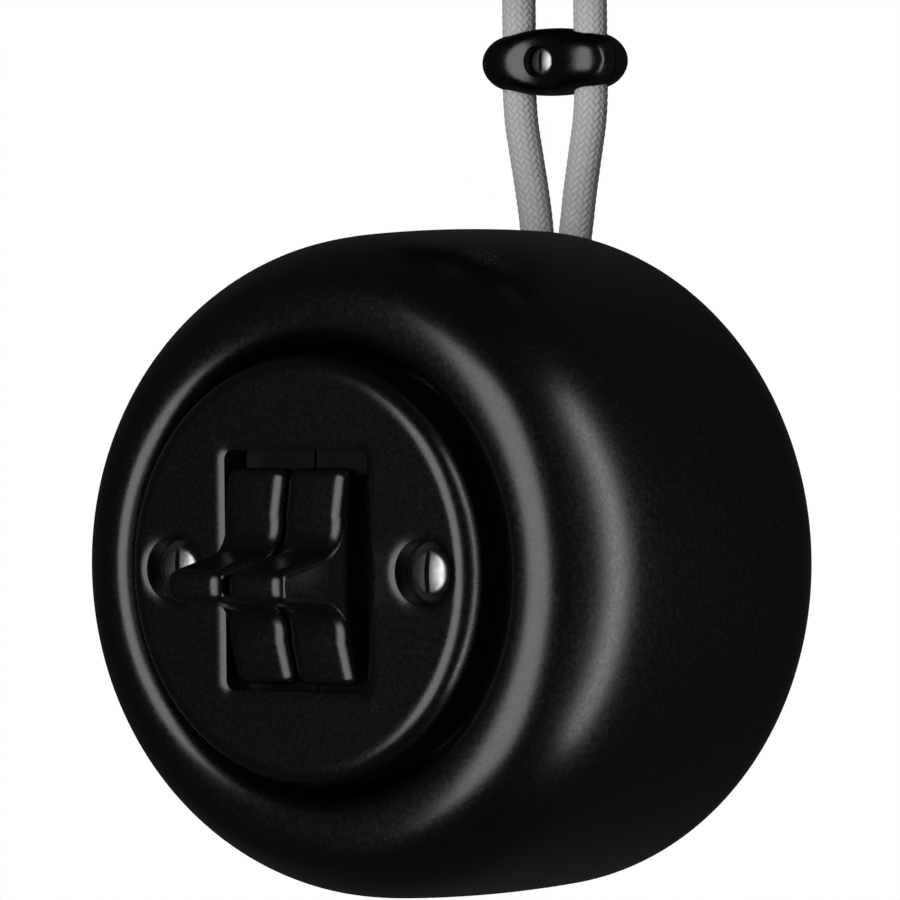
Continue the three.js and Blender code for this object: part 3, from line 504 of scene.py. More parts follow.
def smooth_line(points, step):
    """A centripetal Catmull-Rom curve through the points, sampled at an even step."""
    p = np.array(points, float)
    p = np.vstack([2 * p[0] - p[1], p, 2 * p[-1] - p[-2]])
    knots = np.concatenate([[0], np.cumsum(np.sqrt(np.linalg.norm(np.diff(p, axis=0), axis=1)))])
    line = []
    for i in range(1, len(p) - 2):
        for t in np.linspace(knots[i], knots[i + 1], SPLINE_SAMPLES, endpoint=False):
            a = [between(p[j], p[j + 1], knots[j], knots[j + 1], t) for j in (i - 1, i, i + 1)]
            b = [between(a[k], a[k + 1], knots[i - 1 + k], knots[i + 1 + k], t) for k in (0, 1)]
            line.append(between(b[0], b[1], knots[i], knots[i + 1], t))
    line.append(p[-2])
    line = np.array(line)
    along = np.concatenate([[0], np.cumsum(np.linalg.norm(np.diff(line, axis=0), axis=1))])
    even = np.linspace(0, along[-1], int(along[-1] / step) + 1)
    return np.stack([np.interp(even, along, line[:, k]) for k in range(3)], 1), even


def braid(turn, along):
    """Height of a two-over, two-under braid, and where each point lies on the strand that shows."""
    a = STRANDS * turn + along / STRAND_PITCH
    b = -STRANDS * turn + along / STRAND_PITCH

    def strand(across, other, shift):
        number = np.floor(across)
        inside = across - number
        crown = np.sqrt(np.clip(1 - (2 * inside - 1) ** 2, 0, 1))
        phase = np.cos(math.pi / 2 * (other - number - shift))
        weave = np.clip(WEAVE_SHARPNESS * phase, -1, 1)
        return STRAND_HEIGHT * crown + STRAND_WEAVE * weave, across, other

    first = strand(a, b, 0)
    second = strand(b, a, 3)
    on_top = first[0] >= second[0]
    return [np.where(on_top, f, s) for f, s in zip(first, second)]


def textile_cord(side, sign, twist):
    line, along = smooth_line([(sign * x, y, z) for x, y, z in CORD_ROUTE], CORD_STEP)
    tangent = np.gradient(line, axis=0)
    tangent /= np.linalg.norm(tangent, axis=1)[:, None]
    across = np.cross(tangent, (0, 1, 0))
    across /= np.linalg.norm(across, axis=1)[:, None]
    behind = np.cross(tangent, across)
    turn = np.arange(CORD_COLUMNS) / CORD_COLUMNS
    turns, places = np.meshgrid(turn + twist, along)
    height, on_across, on_along = braid(turns, places)
    full = STRAND_HEIGHT + STRAND_WEAVE
    radius = CORD_DIAMETER / 2 - full + height
    angle = 2 * math.pi * turns
    points = (
        line[:, None]
        + (radius * np.cos(angle))[..., None] * across[:, None]
        + (radius * np.sin(angle))[..., None] * behind[:, None]
    )
    rows = np.arange(points.shape[0] * CORD_COLUMNS).reshape(-1, CORD_COLUMNS)
    faces = []
    for first, second in zip(rows, rows[1:]):
        faces += strip_faces(first.tolist(), second.tolist())
    faces += [rows[0][::-1].tolist(), rows[-1].tolist()]
    obj = outward(add_object(f"textile_cord_{side}", points.reshape(-1, 3) * MM, faces, TEXTILE, 180))
    # relief is low between strands, where the yarn's colour is darkened as painted shade.
    lowest = STRAND_HEIGHT * 0.3 - STRAND_WEAVE
    relief = np.clip((height - lowest) / (full - lowest), 0, 1)
    for key, values in (("yarn_across", on_across), ("yarn_along", on_along), ("relief", relief)):
        attribute = obj.data.attributes.new(key, "FLOAT", "POINT")
        attribute.data.foreach_set("value", values.astype(np.float32).ravel())
    obj.visible_glossy = False
    finish_piece(obj, ROOT, "grey_textile", f"cord_{side}")


for cord_side, cord_sign in SIDES:
    textile_cord(cord_side, cord_sign, BRAID_TWIST * cord_sign)

# ------------------------------------------------------------------ housing and rear cover

LIP_RADIUS = 40.5
LIP_ROUNDING = 4.0
RECESS_RADIUS = LIP_RADIUS - LIP_ROUNDING
LIP_TO_BACK = (  # (rounding, angle reached, steps), from the lip's crest over the widest circle
    (9.5, 53, 14),
    (27.7, 70, 6),
    (28, 82, 5),
    (70, 86, 3),
    (388, 91.5, 12),
    (13, 130, 10),
    (27, 180, 14),
)
BACK_OPENING = 31.5
BACK_LEDGE = 28.5
BACK_ROUNDING = 0.8
COVER_SEAT = BACK_DEPTH - 4.3
HOUSING_WALL = 5
INNER_RADIUS = (housing_high.x - housing_low.x) / 2 / MM - HOUSING_WALL
RECESS_REAR = 15
LEDGE_THICKNESS = 4.5
SLOT_DEPTH = 72.2
SLOT_HEIGHT = 50.0
SLOT_LEAN = math.radians(-28)
SLOT_WIDTH = 15.2
SLOT_THICKNESS = 8.2
SLOT_REACH = 17  # of the cutter, either way along its own axis
COVER_WELL_RADIUS = 4.0
COVER_WELL_MOUTH = 4.6
COVER_WELL_DEPTH = 2.2
COVER_SCREW_HOLE = 1.9
COVER_STEP = 4.0


def cord_slot():
    """A cutter for the slot that both cords go down."""
    outline = rounded_rectangle(SLOT_WIDTH, SLOT_THICKNESS, 0.49 * SLOT_THICKNESS, 12)
    count = len(outline)
    points = [(x * MM, y * MM, z * MM) for z in (-SLOT_REACH, SLOT_REACH) for x, y in outline]
    faces = strip_faces(list(range(count)), list(range(count, 2 * count)))
    faces += [list(range(count))[::-1], list(range(count, 2 * count))]
    obj = add_object("slot_cutter", points, faces, GLAZE)
    place = Matrix.Translation(in_drum(0, SLOT_DEPTH, SLOT_HEIGHT))
    obj.matrix_world = place @ Matrix.Rotation(SLOT_LEAN, 4, "X")
    return outward(obj)


def make_housing():
    lip = arc(LIP_RADIUS, LIP_DEPTH + LIP_ROUNDING, LIP_ROUNDING, -90, 0, 12)
    wall = [p for p in arc_chain(lip[-1], 0, LIP_TO_BACK)[1:] if p[0] > BACK_OPENING + BACK_ROUNDING]
    rim = arc(BACK_OPENING + BACK_ROUNDING, BACK_DEPTH - BACK_ROUNDING, BACK_ROUNDING, 180, 270, 4)
    inside = [
        (BACK_OPENING, COVER_SEAT),
        (BACK_LEDGE, COVER_SEAT),
        (BACK_LEDGE, COVER_SEAT - LEDGE_THICKNESS),
        (BACK_OPENING + 2, COVER_SEAT - LEDGE_THICKNESS),
        (INNER_RADIUS - 6, BACK_DEPTH - 13),
        (INNER_RADIUS - 1, BACK_DEPTH - 20),
        (INNER_RADIUS, BACK_DEPTH - 27),
        (INNER_RADIUS - 1.2, 24),
        (INNER_RADIUS - 4, 18),
        (RECESS_RADIUS + 7, RECESS_REAR),
        (RECESS_RADIUS + 0.5, RECESS_REAR),
        (RECESS_RADIUS, RECESS_REAR - 0.5),
    ]
    body = turned("porcelain_housing", lip + wall + rim + inside, GLAZE, CENTRE, 256, closed=True)
    carve(body, cord_slot())
    finish_piece(body, ROOT, "black_porcelain", "housing")


def make_rear_cover():
    low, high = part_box("rear_cover")
    radius = (high.x - low.x) / 2 / MM
    front, face = ((y - DEPTH_ZERO) / MM for y in (low.y, high.y))
    edge = arc(radius - 1, face - 1, 1, 90, 180, 6)
    profile = [(0, front), (radius - 0.3, front), (radius, front + 0.3), *edge]
    profile += [(radius - COVER_STEP, face), (0, face)]
    cover = turned("porcelain_rear_cover", profile, GLAZE, CENTRE, 200)
    for side, sign in SIDES:
        low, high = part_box(f"rear_cover_screw_{side}")
        x = (low.x + high.x) / 2 / MM
        seat = face - COVER_WELL_DEPTH
        well = [(0, seat), (COVER_WELL_RADIUS, seat), (COVER_WELL_RADIUS, face - 0.5)]
        well += [(COVER_WELL_MOUTH, face + 0.1), (COVER_WELL_MOUTH, face + 1), (0, face + 1)]
        hole = [(0, front - 1), (COVER_SCREW_HOLE, front - 1), (COVER_SCREW_HOLE, face), (0, face)]
        for shape in (well, hole):
            carve(cover, turned("cutter", shape, GLAZE, CENTRE + Vector((x * MM, 0, 0)), 40))
    finish_piece(cover, ROOT, "black_porcelain", "rear_cover")


make_housing()
make_rear_cover()

# ------------------------------------------------------------------ rosette

SHOULDER = 3.4
SHOULDER_ARCS = ((3.1, 62, 12), (5.9, 78, 6), (4.1, 90, 3))
ROSETTE_REAR = (rosette_high.y - DEPTH_ZERO) / MM
PLATE_REAR = 4.6
HOLLOW_RADIUS = ROSETTE_RADIUS - 4.4
WINDOW_WIDTH = 28.4
WINDOW_HEIGHT = 38.4
WINDOW_CORNER = 1.5
WINDOW_BLEND = 1.9
WELL_RADIUS = 5.35
WELL_BLEND = 1.8
BLEND_ROUNDING = 4.2  # the face dips towards the window and the wells, and then ends at a crisp edge
WELL_SEAT = 3.5
SCREW_HOLE = 2.05
BOSS_RADIUS = 4.6
FLAT_RING = 0.4  # a flat margin beside a rounding, which keeps its shading off the flat face
BLEND_MARGIN = 0.3
FIELD_MARGIN = 1
WINDOW_STEP = 1.0
ROSETTE_SIDES = 256
WELL_SIDES = 96
WINDOW_LEVELS = np.linspace(0, WINDOW_BLEND, 8)
WELL_LEVELS = np.linspace(0, WELL_BLEND, 8)


def window_distance(x, z):
    """How far a point lies outside the window's edge."""
    from_x = np.abs(x) - (WINDOW_WIDTH / 2 - WINDOW_CORNER)
    from_z = np.abs(z) - (WINDOW_HEIGHT / 2 - WINDOW_CORNER)
    beyond = np.hypot(np.maximum(from_x, 0), np.maximum(from_z, 0))
    return beyond + np.minimum(np.maximum(from_x, from_z), 0) - WINDOW_CORNER


def blended(distance, reach):
    """How far the face has dipped at a distance from an opening's edge."""
    short = np.clip(reach - distance, 0, reach)
    return BLEND_ROUNDING - np.sqrt(BLEND_ROUNDING**2 - short**2)


def rosette_depth(points, wells):
    """Depth of the rosette's front at each (x, z): flat, falling off over its edges."""
    x, z = points[:, 0], points[:, 1]
    shoulder = np.array(arc_chain((ROSETTE_RADIUS - SHOULDER, 0), 0, SHOULDER_ARCS))
    drops = [np.interp(np.hypot(x, z), *shoulder.T)]
    drops.append(blended(window_distance(x, z), WINDOW_BLEND))
    drops += [blended(np.hypot(x - well, z) - WELL_RADIUS, WELL_BLEND) for well in wells]
    return ROSETTE_FACE + np.max(drops, axis=0)


def encloses(loop, x, z):
    """Whether each point (x, z) lies inside a closed outline."""
    inside = np.zeros(len(x), bool)
    for (x0, z0), (x1, z1) in zip(loop, np.roll(loop, -1, 0)):
        crossing = (z0 > z) != (z1 > z)
        with np.errstate(divide="ignore", invalid="ignore"):
            inside ^= crossing & (x < (x1 - x0) * (z - z0) / (z1 - z0) + x0)
    return inside


def filled(loops, extra=()):
    """Triangles inside the first loop and outside the others. Returns points (loops first) and faces."""
    points = np.vstack([*loops, *extra])
    edges, first = [], 0
    for loop in loops:
        edges += [(first + i, first + (i + 1) % len(loop)) for i in range(len(loop))]
        first += len(loop)
    made = delaunay_2d_cdt([Vector(p) for p in points], edges, [], 0, 1e-6)
    numbers = [origin[0] for origin in made[3]]
    faces = np.array([[numbers[i] for i in face] for face in made[2]])
    x, z = points[faces].mean(1).T
    kept = encloses(loops[0], x, z)
    for hole in loops[1:]:
        kept &= ~encloses(hole, x, z)
    return points, [tuple(face) for face in faces[kept].tolist()]


def window_at(out):
    """The window's outline, moved outwards."""
    size = (WINDOW_WIDTH + 2 * out, WINDOW_HEIGHT + 2 * out, WINDOW_CORNER + out)
    return divided(rounded_rectangle(*size), WINDOW_STEP)


def well_at(well, out=0.0):
    return circle(WELL_RADIUS + out, well, sides=WELL_SIDES)


def clear_of(points, wells, gap):
    """The points that lie further than gap outside every well's edge."""
    for well in wells:
        points = points[np.hypot(points[:, 0] - well, points[:, 1]) > WELL_RADIUS + gap]
    return points


def face_points(wells):
    """Points inside the face's outline: rows that carry its roundings, and a sparse field between them."""
    shoulder = arc_chain((ROSETTE_RADIUS - SHOULDER, 0), 0, SHOULDER_ARCS)
    radii = [radius for radius, _ in shoulder] + [ROSETTE_RADIUS - SHOULDER - FLAT_RING]
    rows = [circle(radius, sides=ROSETTE_SIDES) for radius in radii]
    rows += [window_at(out) for out in [*WINDOW_LEVELS[1:], WINDOW_BLEND + BLEND_MARGIN]]
    for well in wells:
        rows += [well_at(well, out) for out in [*WELL_LEVELS[1:], WELL_BLEND + BLEND_MARGIN]]
    field = np.vstack([circle(radius, sides=120) for radius in range(16, 31, 2)])
    field = clear_of(field, wells, WELL_BLEND + FIELD_MARGIN)
    rows.append(field[window_distance(*field.T) > WINDOW_BLEND + FIELD_MARGIN])
    within = [row[np.hypot(*row.T) < ROSETTE_RADIUS - 0.02] for row in rows]
    return [clear_of(row, wells, 0.01) for row in within]


def rosette_walls(window, wells):
    """For each outline of the face, the (ring, depth) rows that lead from it to the plate's rear."""
    outer = [(circle(ROSETTE_RADIUS, sides=ROSETTE_SIDES), ROSETTE_REAR)]
    outer += [(circle(HOLLOW_RADIUS, sides=ROSETTE_SIDES), depth) for depth in (ROSETTE_REAR, PLATE_REAR)]
    walls = [outer, [(window, PLATE_REAR)]]
    for well in wells:
        rows = [(WELL_RADIUS, WELL_SEAT - 0.3), (WELL_RADIUS - 0.3, WELL_SEAT), (SCREW_HOLE, WELL_SEAT)]
        rows += [(SCREW_HOLE, ROSETTE_REAR), (BOSS_RADIUS, ROSETTE_REAR), (BOSS_RADIUS, PLATE_REAR)]
        walls.append([(circle(radius, well, sides=WELL_SIDES), depth) for radius, depth in rows])
    return walls


def make_rosette():
    boxes = [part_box(f"rosette_screw_{side}") for side, _ in SIDES]
    wells = [(low.x + high.x) / 2 / MM for low, high in boxes]
    window = window_at(0)
    outlines = [circle(ROSETTE_RADIUS, sides=ROSETTE_SIDES), window, *map(well_at, wells)]
    flat, faces = filled(outlines, face_points(wells))
    points = np.stack([flat[:, 0], rosette_depth(flat, wells), flat[:, 1]], 1).tolist()
    first, backs = 0, []
    for outline, wall in zip(outlines, rosette_walls(window, wells)):
        row = list(range(first, first + len(outline)))
        first += len(outline)
        for ring, depth in wall:
            below = list(range(len(points), len(points) + len(ring)))
            points += [(x, depth, z) for x, z in ring]
            faces += strip_faces(row, below)
            row = below
        backs.append((ring, row))
    numbers = [n for _, row in backs for n in row]
    _, back_faces = filled([ring for ring, _ in backs])
    faces += [tuple(numbers[i] for i in face) for face in back_faces]
    place = np.array(points) * MM + np.array(CENTRE)
    rosette = outward(add_object("porcelain_rosette", place, faces, GLAZE, 40, CENTRE))
    finish_piece(rosette, ROOT, "black_porcelain", "rosette")


make_rosette()

# ------------------------------------------------------------------ rockers

ROCKER_HALF_WIDTH = 5.8
PIVOT_DEPTH = 8.0
PIVOT_HEIGHT = -0.4
STORED_TILT = math.radians(3.2)
HALF_HEIGHT = 17.3
PAD_PROUD = 10.0
PAD_SLOPE = math.tan(math.radians(10.5))
LEVER_REACH = 27.4
LEVER_HALF_THICK = 2.7
LEVER_FILLET = 5.0
LEVER_TAPER = math.radians(9)
TIP_ROUNDING = 2.2
PAD_THICKNESS = 4.8
STEM_REAR = 10.0
STEM_HALF_THICK = 2.9
SHOULDER_POINT = (-2.5, 5.4)  # where the stem's flank meets the pads' rear
CROWN = 3.2  # rounding of a pad's sides where they start to turn
SIDE_EDGE = 1.1  # and where they end
CROWN_TURN = math.radians(35)
LEVER_NARROWING = 0.07  # of the width, from the root of the lever to its tip
NARROW_FROM = 8
NARROW_TO = 18


def round_corner(before, corner, after, rounding, steps):
    """The arc that replaces a corner between two straight stretches."""
    corner = Vector(corner)
    a, b = (Vector(before) - corner).normalized(), (Vector(after) - corner).normalized()
    half = a.angle(b) / 2
    middle = corner + (a + b).normalized() * (rounding / math.sin(half))
    reach = rounding / math.tan(half)
    start, end = corner + a * reach - middle, corner + b * reach - middle
    spokes = [start.lerp(end, i / steps).normalized() for i in range(steps + 1)]
    return [tuple(middle + spoke * rounding) for spoke in spokes]


def rocker_side():
    """Side outline of a rocker about its pivot, as (depth, height) points."""
    slope = math.atan(PAD_SLOPE)
    back = -PAD_PROUD + PAD_THICKNESS
    tip_depth = -LEVER_REACH + TIP_ROUNDING
    tip_height = LEVER_HALF_THICK - TIP_ROUNDING
    pad_foot = -PAD_PROUD - HALF_HEIGHT * PAD_SLOPE
    # the fillet's middle lies one radius off both the pad's plane and the lever's tapering face
    from_pad = LEVER_FILLET / math.cos(slope)
    from_lever = (TIP_ROUNDING + LEVER_FILLET) / math.cos(LEVER_TAPER)
    rise = math.tan(LEVER_TAPER)
    height = (tip_height + from_lever + rise * (pad_foot - from_pad - tip_depth)) / (1 - rise * PAD_SLOPE)
    depth = pad_foot - from_pad + height * PAD_SLOPE
    stem_corner, pad_top = (STEM_REAR, STEM_HALF_THICK), (-PAD_PROUD, HALF_HEIGHT)
    half = round_corner((STEM_REAR, 0), stem_corner, (3, STEM_HALF_THICK), 1.5, 4)
    half += [(3.6, STEM_HALF_THICK), (1.5, 4.2), SHOULDER_POINT]
    half += round_corner(SHOULDER_POINT, (back, HALF_HEIGHT - 0.2), pad_top, 1.6, 5)
    half += round_corner((back, HALF_HEIGHT - 0.1), pad_top, (pad_foot, 0), 1.9, 8)
    for angle in np.linspace(slope, LEVER_TAPER - math.pi / 2, 14):
        half.append((depth + LEVER_FILLET * math.cos(angle), height + LEVER_FILLET * math.sin(angle)))
    for angle in np.linspace(math.pi / 2 + LEVER_TAPER, math.pi, 10):
        out, up = TIP_ROUNDING * math.cos(angle), TIP_ROUNDING * math.sin(angle)
        half.append((tip_depth + out, tip_height + up))
    return np.array(half + [(d, -h) for d, h in reversed(half)])


def inset(outline, by):
    """The outline moved inwards along its own normals."""
    before, after = np.roll(outline, 1, 0), np.roll(outline, -1, 0)

    def normals(vectors):
        vectors = vectors / np.maximum(np.linalg.norm(vectors, axis=1), 1e-9)[:, None]
        return np.stack([vectors[:, 1], -vectors[:, 0]], 1)

    first, second = normals(outline - before), normals(after - outline)
    mean = first + second
    mean /= np.linalg.norm(mean, axis=1)[:, None]
    stretch = 1 / np.maximum((mean * first).sum(1), 0.6)
    area = (outline[:, 0] * np.roll(outline[:, 1], -1) - outline[:, 1] * np.roll(outline[:, 0], -1)).sum()
    return outline - np.sign(area) * mean * (stretch * by)[:, None]


def side_rounding():
    """(distance from the side plane, inset) from the front to the side: a wide turn, then a tight one."""
    points = []
    for angle in np.linspace(0, CROWN_TURN, 8):
        points.append((CROWN * math.sin(angle), CROWN * (1 - math.cos(angle))))
    from_across, from_deep = points[-1]
    for angle in np.linspace(CROWN_TURN, math.pi / 2, 9)[1:]:
        across = from_across + SIDE_EDGE * (math.sin(angle) - math.sin(CROWN_TURN))
        points.append((across, from_deep + SIDE_EDGE * (math.cos(CROWN_TURN) - math.cos(angle))))
    reach = points[-1][0]
    return [(reach - across, deep) for across, deep in points]


def make_rocker(side):
    outline = rocker_side()
    rounding = side_rounding()
    sections = [(ROCKER_HALF_WIDTH - from_side, deep) for from_side, deep in rounding]
    sections = [(-x, deep) for x, deep in reversed(sections)] + sections
    deepest = rounding[-1][1] + FLAT_RING
    sections = [(-ROCKER_HALF_WIDTH, deepest), *sections, (ROCKER_HALF_WIDTH, deepest)]
    points, rows, faces = [], [], []
    for x, deep in sections:
        loop = inset(outline, deep)
        rows.append(list(range(len(points), len(points) + len(loop))))
        narrow = 1 - LEVER_NARROWING * smoothstep(-loop[:, 0], NARROW_FROM, NARROW_TO)
        points += [(x * k, d, h) for (d, h), k in zip(loop, narrow)]
    for first, second in zip(rows, rows[1:]):
        faces += strip_faces(first, second)
    faces += [rows[0][::-1], rows[-1]]
    low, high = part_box(f"rocker_{side}")
    pivot = in_drum((low.x + high.x) / 2 / MM, PIVOT_DEPTH, PIVOT_HEIGHT)
    tilt = np.array(Matrix.Rotation(STORED_TILT, 3, "X"))
    place = np.array(points) @ tilt.T * MM + np.array(pivot)
    rocker = outward(add_object(f"porcelain_rocker_{side}", place, faces, GLAZE, 50, pivot))
    finish_piece(rocker, f"rocker_{side}", "black_porcelain", f"rocker_{side}")


for rocker_name, _ in SIDES:
    make_rocker(rocker_name)

# ------------------------------------------------------------------ screws


DOME_FLATNESS = 2.6  # a dome's rounding over its head's radius
HEAD_SIDES = 96
LEFT_SLOT_LEAN = math.radians(-4)
RIGHT_SLOT_LEAN = math.radians(2)
COVER_SLOT_LEAN = math.radians(35)
ROSETTE_SCREW = {"head_radius": 3.4, "rise": 2.4, "shank_radius": 1.7, "length": 15.6, "slot_width": 0.95}
COVER_SCREW = {"head_radius": 3.0, "rise": 2.0, "shank_radius": 1.5, "length": 9.8, "slot_width": 0.8}
CUP_SCREW = {"head_radius": 3.0, "rise": 2.2, "shank_radius": 1.35, "length": 9.5, "slot_width": 0.7}
CLAMP_SCREW = {"head_radius": 2.2, "rise": 1.2, "shank_radius": 1.45, "length": 8.7, "slot_width": 0.7}


def slotted_head(name, centre, turn, head_radius, rise, shank_radius, length, slot_width):
    """A domed slotted screw. Its own axis is Y, its head looks towards -Y, and centre is the dome's top."""
    dome_rounding = DOME_FLATNESS * head_radius
    dome = [(0, 0), *arc(0, dome_rounding, dome_rounding, 4, 21, 6)]
    edge_depth = dome[-1][1]
    scale = (head_radius - 0.25) / dome[-1][0]
    dome = [(radius * scale, depth) for radius, depth in dome]
    rim = [(head_radius, edge_depth + 0.3), (head_radius, rise)]
    shank = [(shank_radius, rise), (shank_radius, length - 0.5), (shank_radius - 0.4, length), (0, length)]
    screw = turned(name, dome + rim + shank, NICKEL, (0, 0, 0), HEAD_SIDES, sharp_above=30)
    size = Vector((slot_width, 1.1 * rise, 4 * head_radius)) * MM
    # The slot's faces take the dark nickel: painted shade inside the slot.
    carve(screw, block("slot", size, Vector((0, 0, 0)), PAINTED_SLOT_SHADE))
    screw.matrix_world = Matrix.Translation(centre) @ turn
    return screw


def front_of(node):
    low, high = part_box(node)
    return Vector(((low.x + high.x) / 2, low.y, (low.z + high.z) / 2))


def rear_of(node):
    low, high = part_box(node)
    return Vector(((low.x + high.x) / 2, high.y, (low.z + high.z) / 2))


def make_rosette_screw(side, sign):
    node = f"rosette_screw_{side}"
    lean = Matrix.Rotation(LEFT_SLOT_LEAN if sign < 0 else RIGHT_SLOT_LEAN, 4, "Y")
    screw = slotted_head(f"head_{node}", front_of(node), lean, **ROSETTE_SCREW)
    finish_piece(screw, ROOT, "nickel_plate", node)


def make_cover_screw(side, sign):
    node = f"rear_cover_screw_{side}"
    lean = Matrix.Rotation(math.pi, 4, "Z") @ Matrix.Rotation(COVER_SLOT_LEAN * sign, 4, "Y")
    screw = slotted_head(f"head_{node}", rear_of(node), lean, **COVER_SCREW)
    finish_piece(screw, ROOT, "nickel_plate", node)


def make_cup_screw(side, sign):
    node = f"cup_screw_{side}"
    low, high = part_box(node)
    tip = Vector((high.x if sign > 0 else low.x, 0, (low.z + high.z) / 2))
    facing = Matrix.Rotation(sign * math.pi / 2, 4, "Z")
    screw = slotted_head(f"head_{node}", tip, facing, **CUP_SCREW)
    finish_piece(screw, ROOT, "nickel_plate", node)


for screw_side, screw_sign in SIDES:
    make_rosette_screw(screw_side, screw_sign)
    make_cover_screw(screw_side, screw_sign)
    make_cup_screw(screw_side, screw_sign)

# ------------------------------------------------------------------ cord clamp

clamp_low, clamp_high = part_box("clamp_front")
CLAMP_CENTRE = Vector((0, 0, (clamp_low.z + clamp_high.z) / 2))
CLAMP_HALF_LENGTH = (clamp_high.x - clamp_low.x) / 2 / MM
CLAMP_HALF_HEIGHT = (clamp_high.z - clamp_low.z) / 2 / MM
CLAMP_HALF_THICK = 6.25
CLAMP_END_HALF_HEIGHT = 4.35
CLAMP_HALF_GAP = 0.15
CLAMP_ROUNDING = 3.9
CLAMP_EASE = 6.6
CLAMP_EASE_DEPTH = 3.3
CLAMP_SWELL_WIDTH = 7.5
CLAMP_SWELL_POWER = 2.6
CLAMP_SECTION_POWER = 2 / 2.5
CLAMP_DISH = 1.45
CLAMP_DISH_WIDTH = 4.5
CLAMP_DISH_HEIGHT = 4.0
CLAMP_DISH_POWER = 1.7
CORD_SPREAD = CORD_ROUTE[0][0]
CORD_BORE = CORD_DIAMETER / 2 + 0.08
SCREW_BORE = 1.75
SCREW_SEAT = 3.5
SCREW_WELL_RADIUS = 2.5
SCREW_SUNK = 0.9
SCREW_LEAN = 0.05
BORE_REACH = 9  # of a cutter, either way from the clamp's middle
NUT_POCKET = (5.8, 8.0, 5.8)
NUT_FACE = 2.6


def bore_profile(radius):
    return [(0, -BORE_REACH), (radius, -BORE_REACH), (radius, BORE_REACH), (0, BORE_REACH)]


def clamp_half(side, facing):
    """Half of the clamp: swollen at its middle, eased off at its ends and dished round the screw."""
    across = CLAMP_HALF_LENGTH * np.sin(np.linspace(-math.pi / 2, math.pi / 2, 141))
    around = np.linspace(0, math.pi, 61)
    beyond = np.clip((np.abs(across) - CLAMP_HALF_LENGTH + CLAMP_ROUNDING) / CLAMP_ROUNDING, 0, 1)
    turned_in = CLAMP_ROUNDING * (1 - np.sqrt(1 - beyond**2))
    eased = np.clip((np.abs(across) - CLAMP_HALF_LENGTH + CLAMP_EASE) / CLAMP_EASE, 0, 1)
    swell = np.exp(-((np.abs(across) / CLAMP_SWELL_WIDTH) ** CLAMP_SWELL_POWER))
    rise = CLAMP_HALF_HEIGHT - CLAMP_END_HALF_HEIGHT
    height = CLAMP_END_HALF_HEIGHT + rise * swell - turned_in
    thick = CLAMP_HALF_THICK - CLAMP_EASE_DEPTH * (1 - np.sqrt(1 - eased**2))
    points, rows = [], []
    for x, h, t in zip(across, height, thick):
        rows.append(list(range(len(points), len(points) + len(around))))
        for angle in around:
            up = h * np.sign(math.cos(angle)) * abs(math.cos(angle)) ** CLAMP_SECTION_POWER
            out = CLAMP_HALF_GAP + (t - CLAMP_HALF_GAP) * abs(math.sin(angle)) ** CLAMP_SECTION_POWER
            away = (x / CLAMP_DISH_WIDTH) ** 2 + (up / CLAMP_DISH_HEIGHT) ** 2
            dish = CLAMP_DISH * math.exp(-(away**CLAMP_DISH_POWER))
            out -= min(dish, 0.9 * (out - CLAMP_HALF_GAP))
            points.append((x, facing * out, up))
    faces = [rows[0], rows[-1]]
    for first, second in zip(rows, rows[1:]):
        faces += strip_faces(first, second)
    place = np.array(points) * MM + np.array(CLAMP_CENTRE)
    half = outward(add_object(f"porcelain_clamp_{side}", place, faces, GLAZE, 50, CLAMP_CENTRE))
    for _, sign in SIDES:
        place = CLAMP_CENTRE + Vector((sign * CORD_SPREAD * MM, 0, 0))
        carve(half, turned("bore", bore_profile(CORD_BORE), GLAZE, place, 64, axis=along_z))
    carve(half, turned("screw_bore", bore_profile(SCREW_BORE), GLAZE, CLAMP_CENTRE, 40))
    return half


def make_clamp():
    front = clamp_half("front", -1)
    seat = -SCREW_SEAT + 0.6
    well = [(0, -BORE_REACH), (SCREW_WELL_RADIUS + 0.4, -BORE_REACH), (SCREW_WELL_RADIUS + 0.4, -4.9)]
    well += [(SCREW_WELL_RADIUS, -4.5), (SCREW_WELL_RADIUS - 0.05, seat), (0, seat)]
    carve(front, turned("screw_well", well, GLAZE, CLAMP_CENTRE, 64))
    finish_piece(front, CLAMP, "black_porcelain", "clamp_front")
    rear = clamp_half("rear", 1)
    pocket = Vector(NUT_POCKET) * MM
    carve(rear, block("nut_pocket", pocket, CLAMP_CENTRE + Vector((0, NUT_FACE * MM + pocket.y / 2, 0))))
    finish_piece(rear, CLAMP, "black_porcelain", "clamp_rear")
    sunk = front_of("clamp_screw") + Vector((0, SCREW_SUNK * MM, 0))
    lean = Matrix.Rotation(SCREW_LEAN, 4, "Y")
    screw = slotted_head("head_clamp_screw", sunk, lean, **CLAMP_SCREW)
    finish_piece(screw, CLAMP, "nickel_plate", "clamp_screw")


make_clamp()

# ------------------------------------------------------------------ ceiling cup

cup_low, cup_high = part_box("ceiling_cup")
CUP_RADIUS = (cup_high.x - cup_low.x) / 2 / MM
CUP_BOTTOM = cup_low.z / MM
CUP_WALL = 3.6
CUP_ROUNDING = 9.0
CUP_TAPER = 1  # how much narrower the cup is at its rounding than at its rim
BUSH_HOLE = 5.2
BUSH_TIP = 4.0
BUSH_NECK = 4.9
BUSH_FLANGE = 6.5
BUSH_GAP = 0.3  # between the flange and the cup


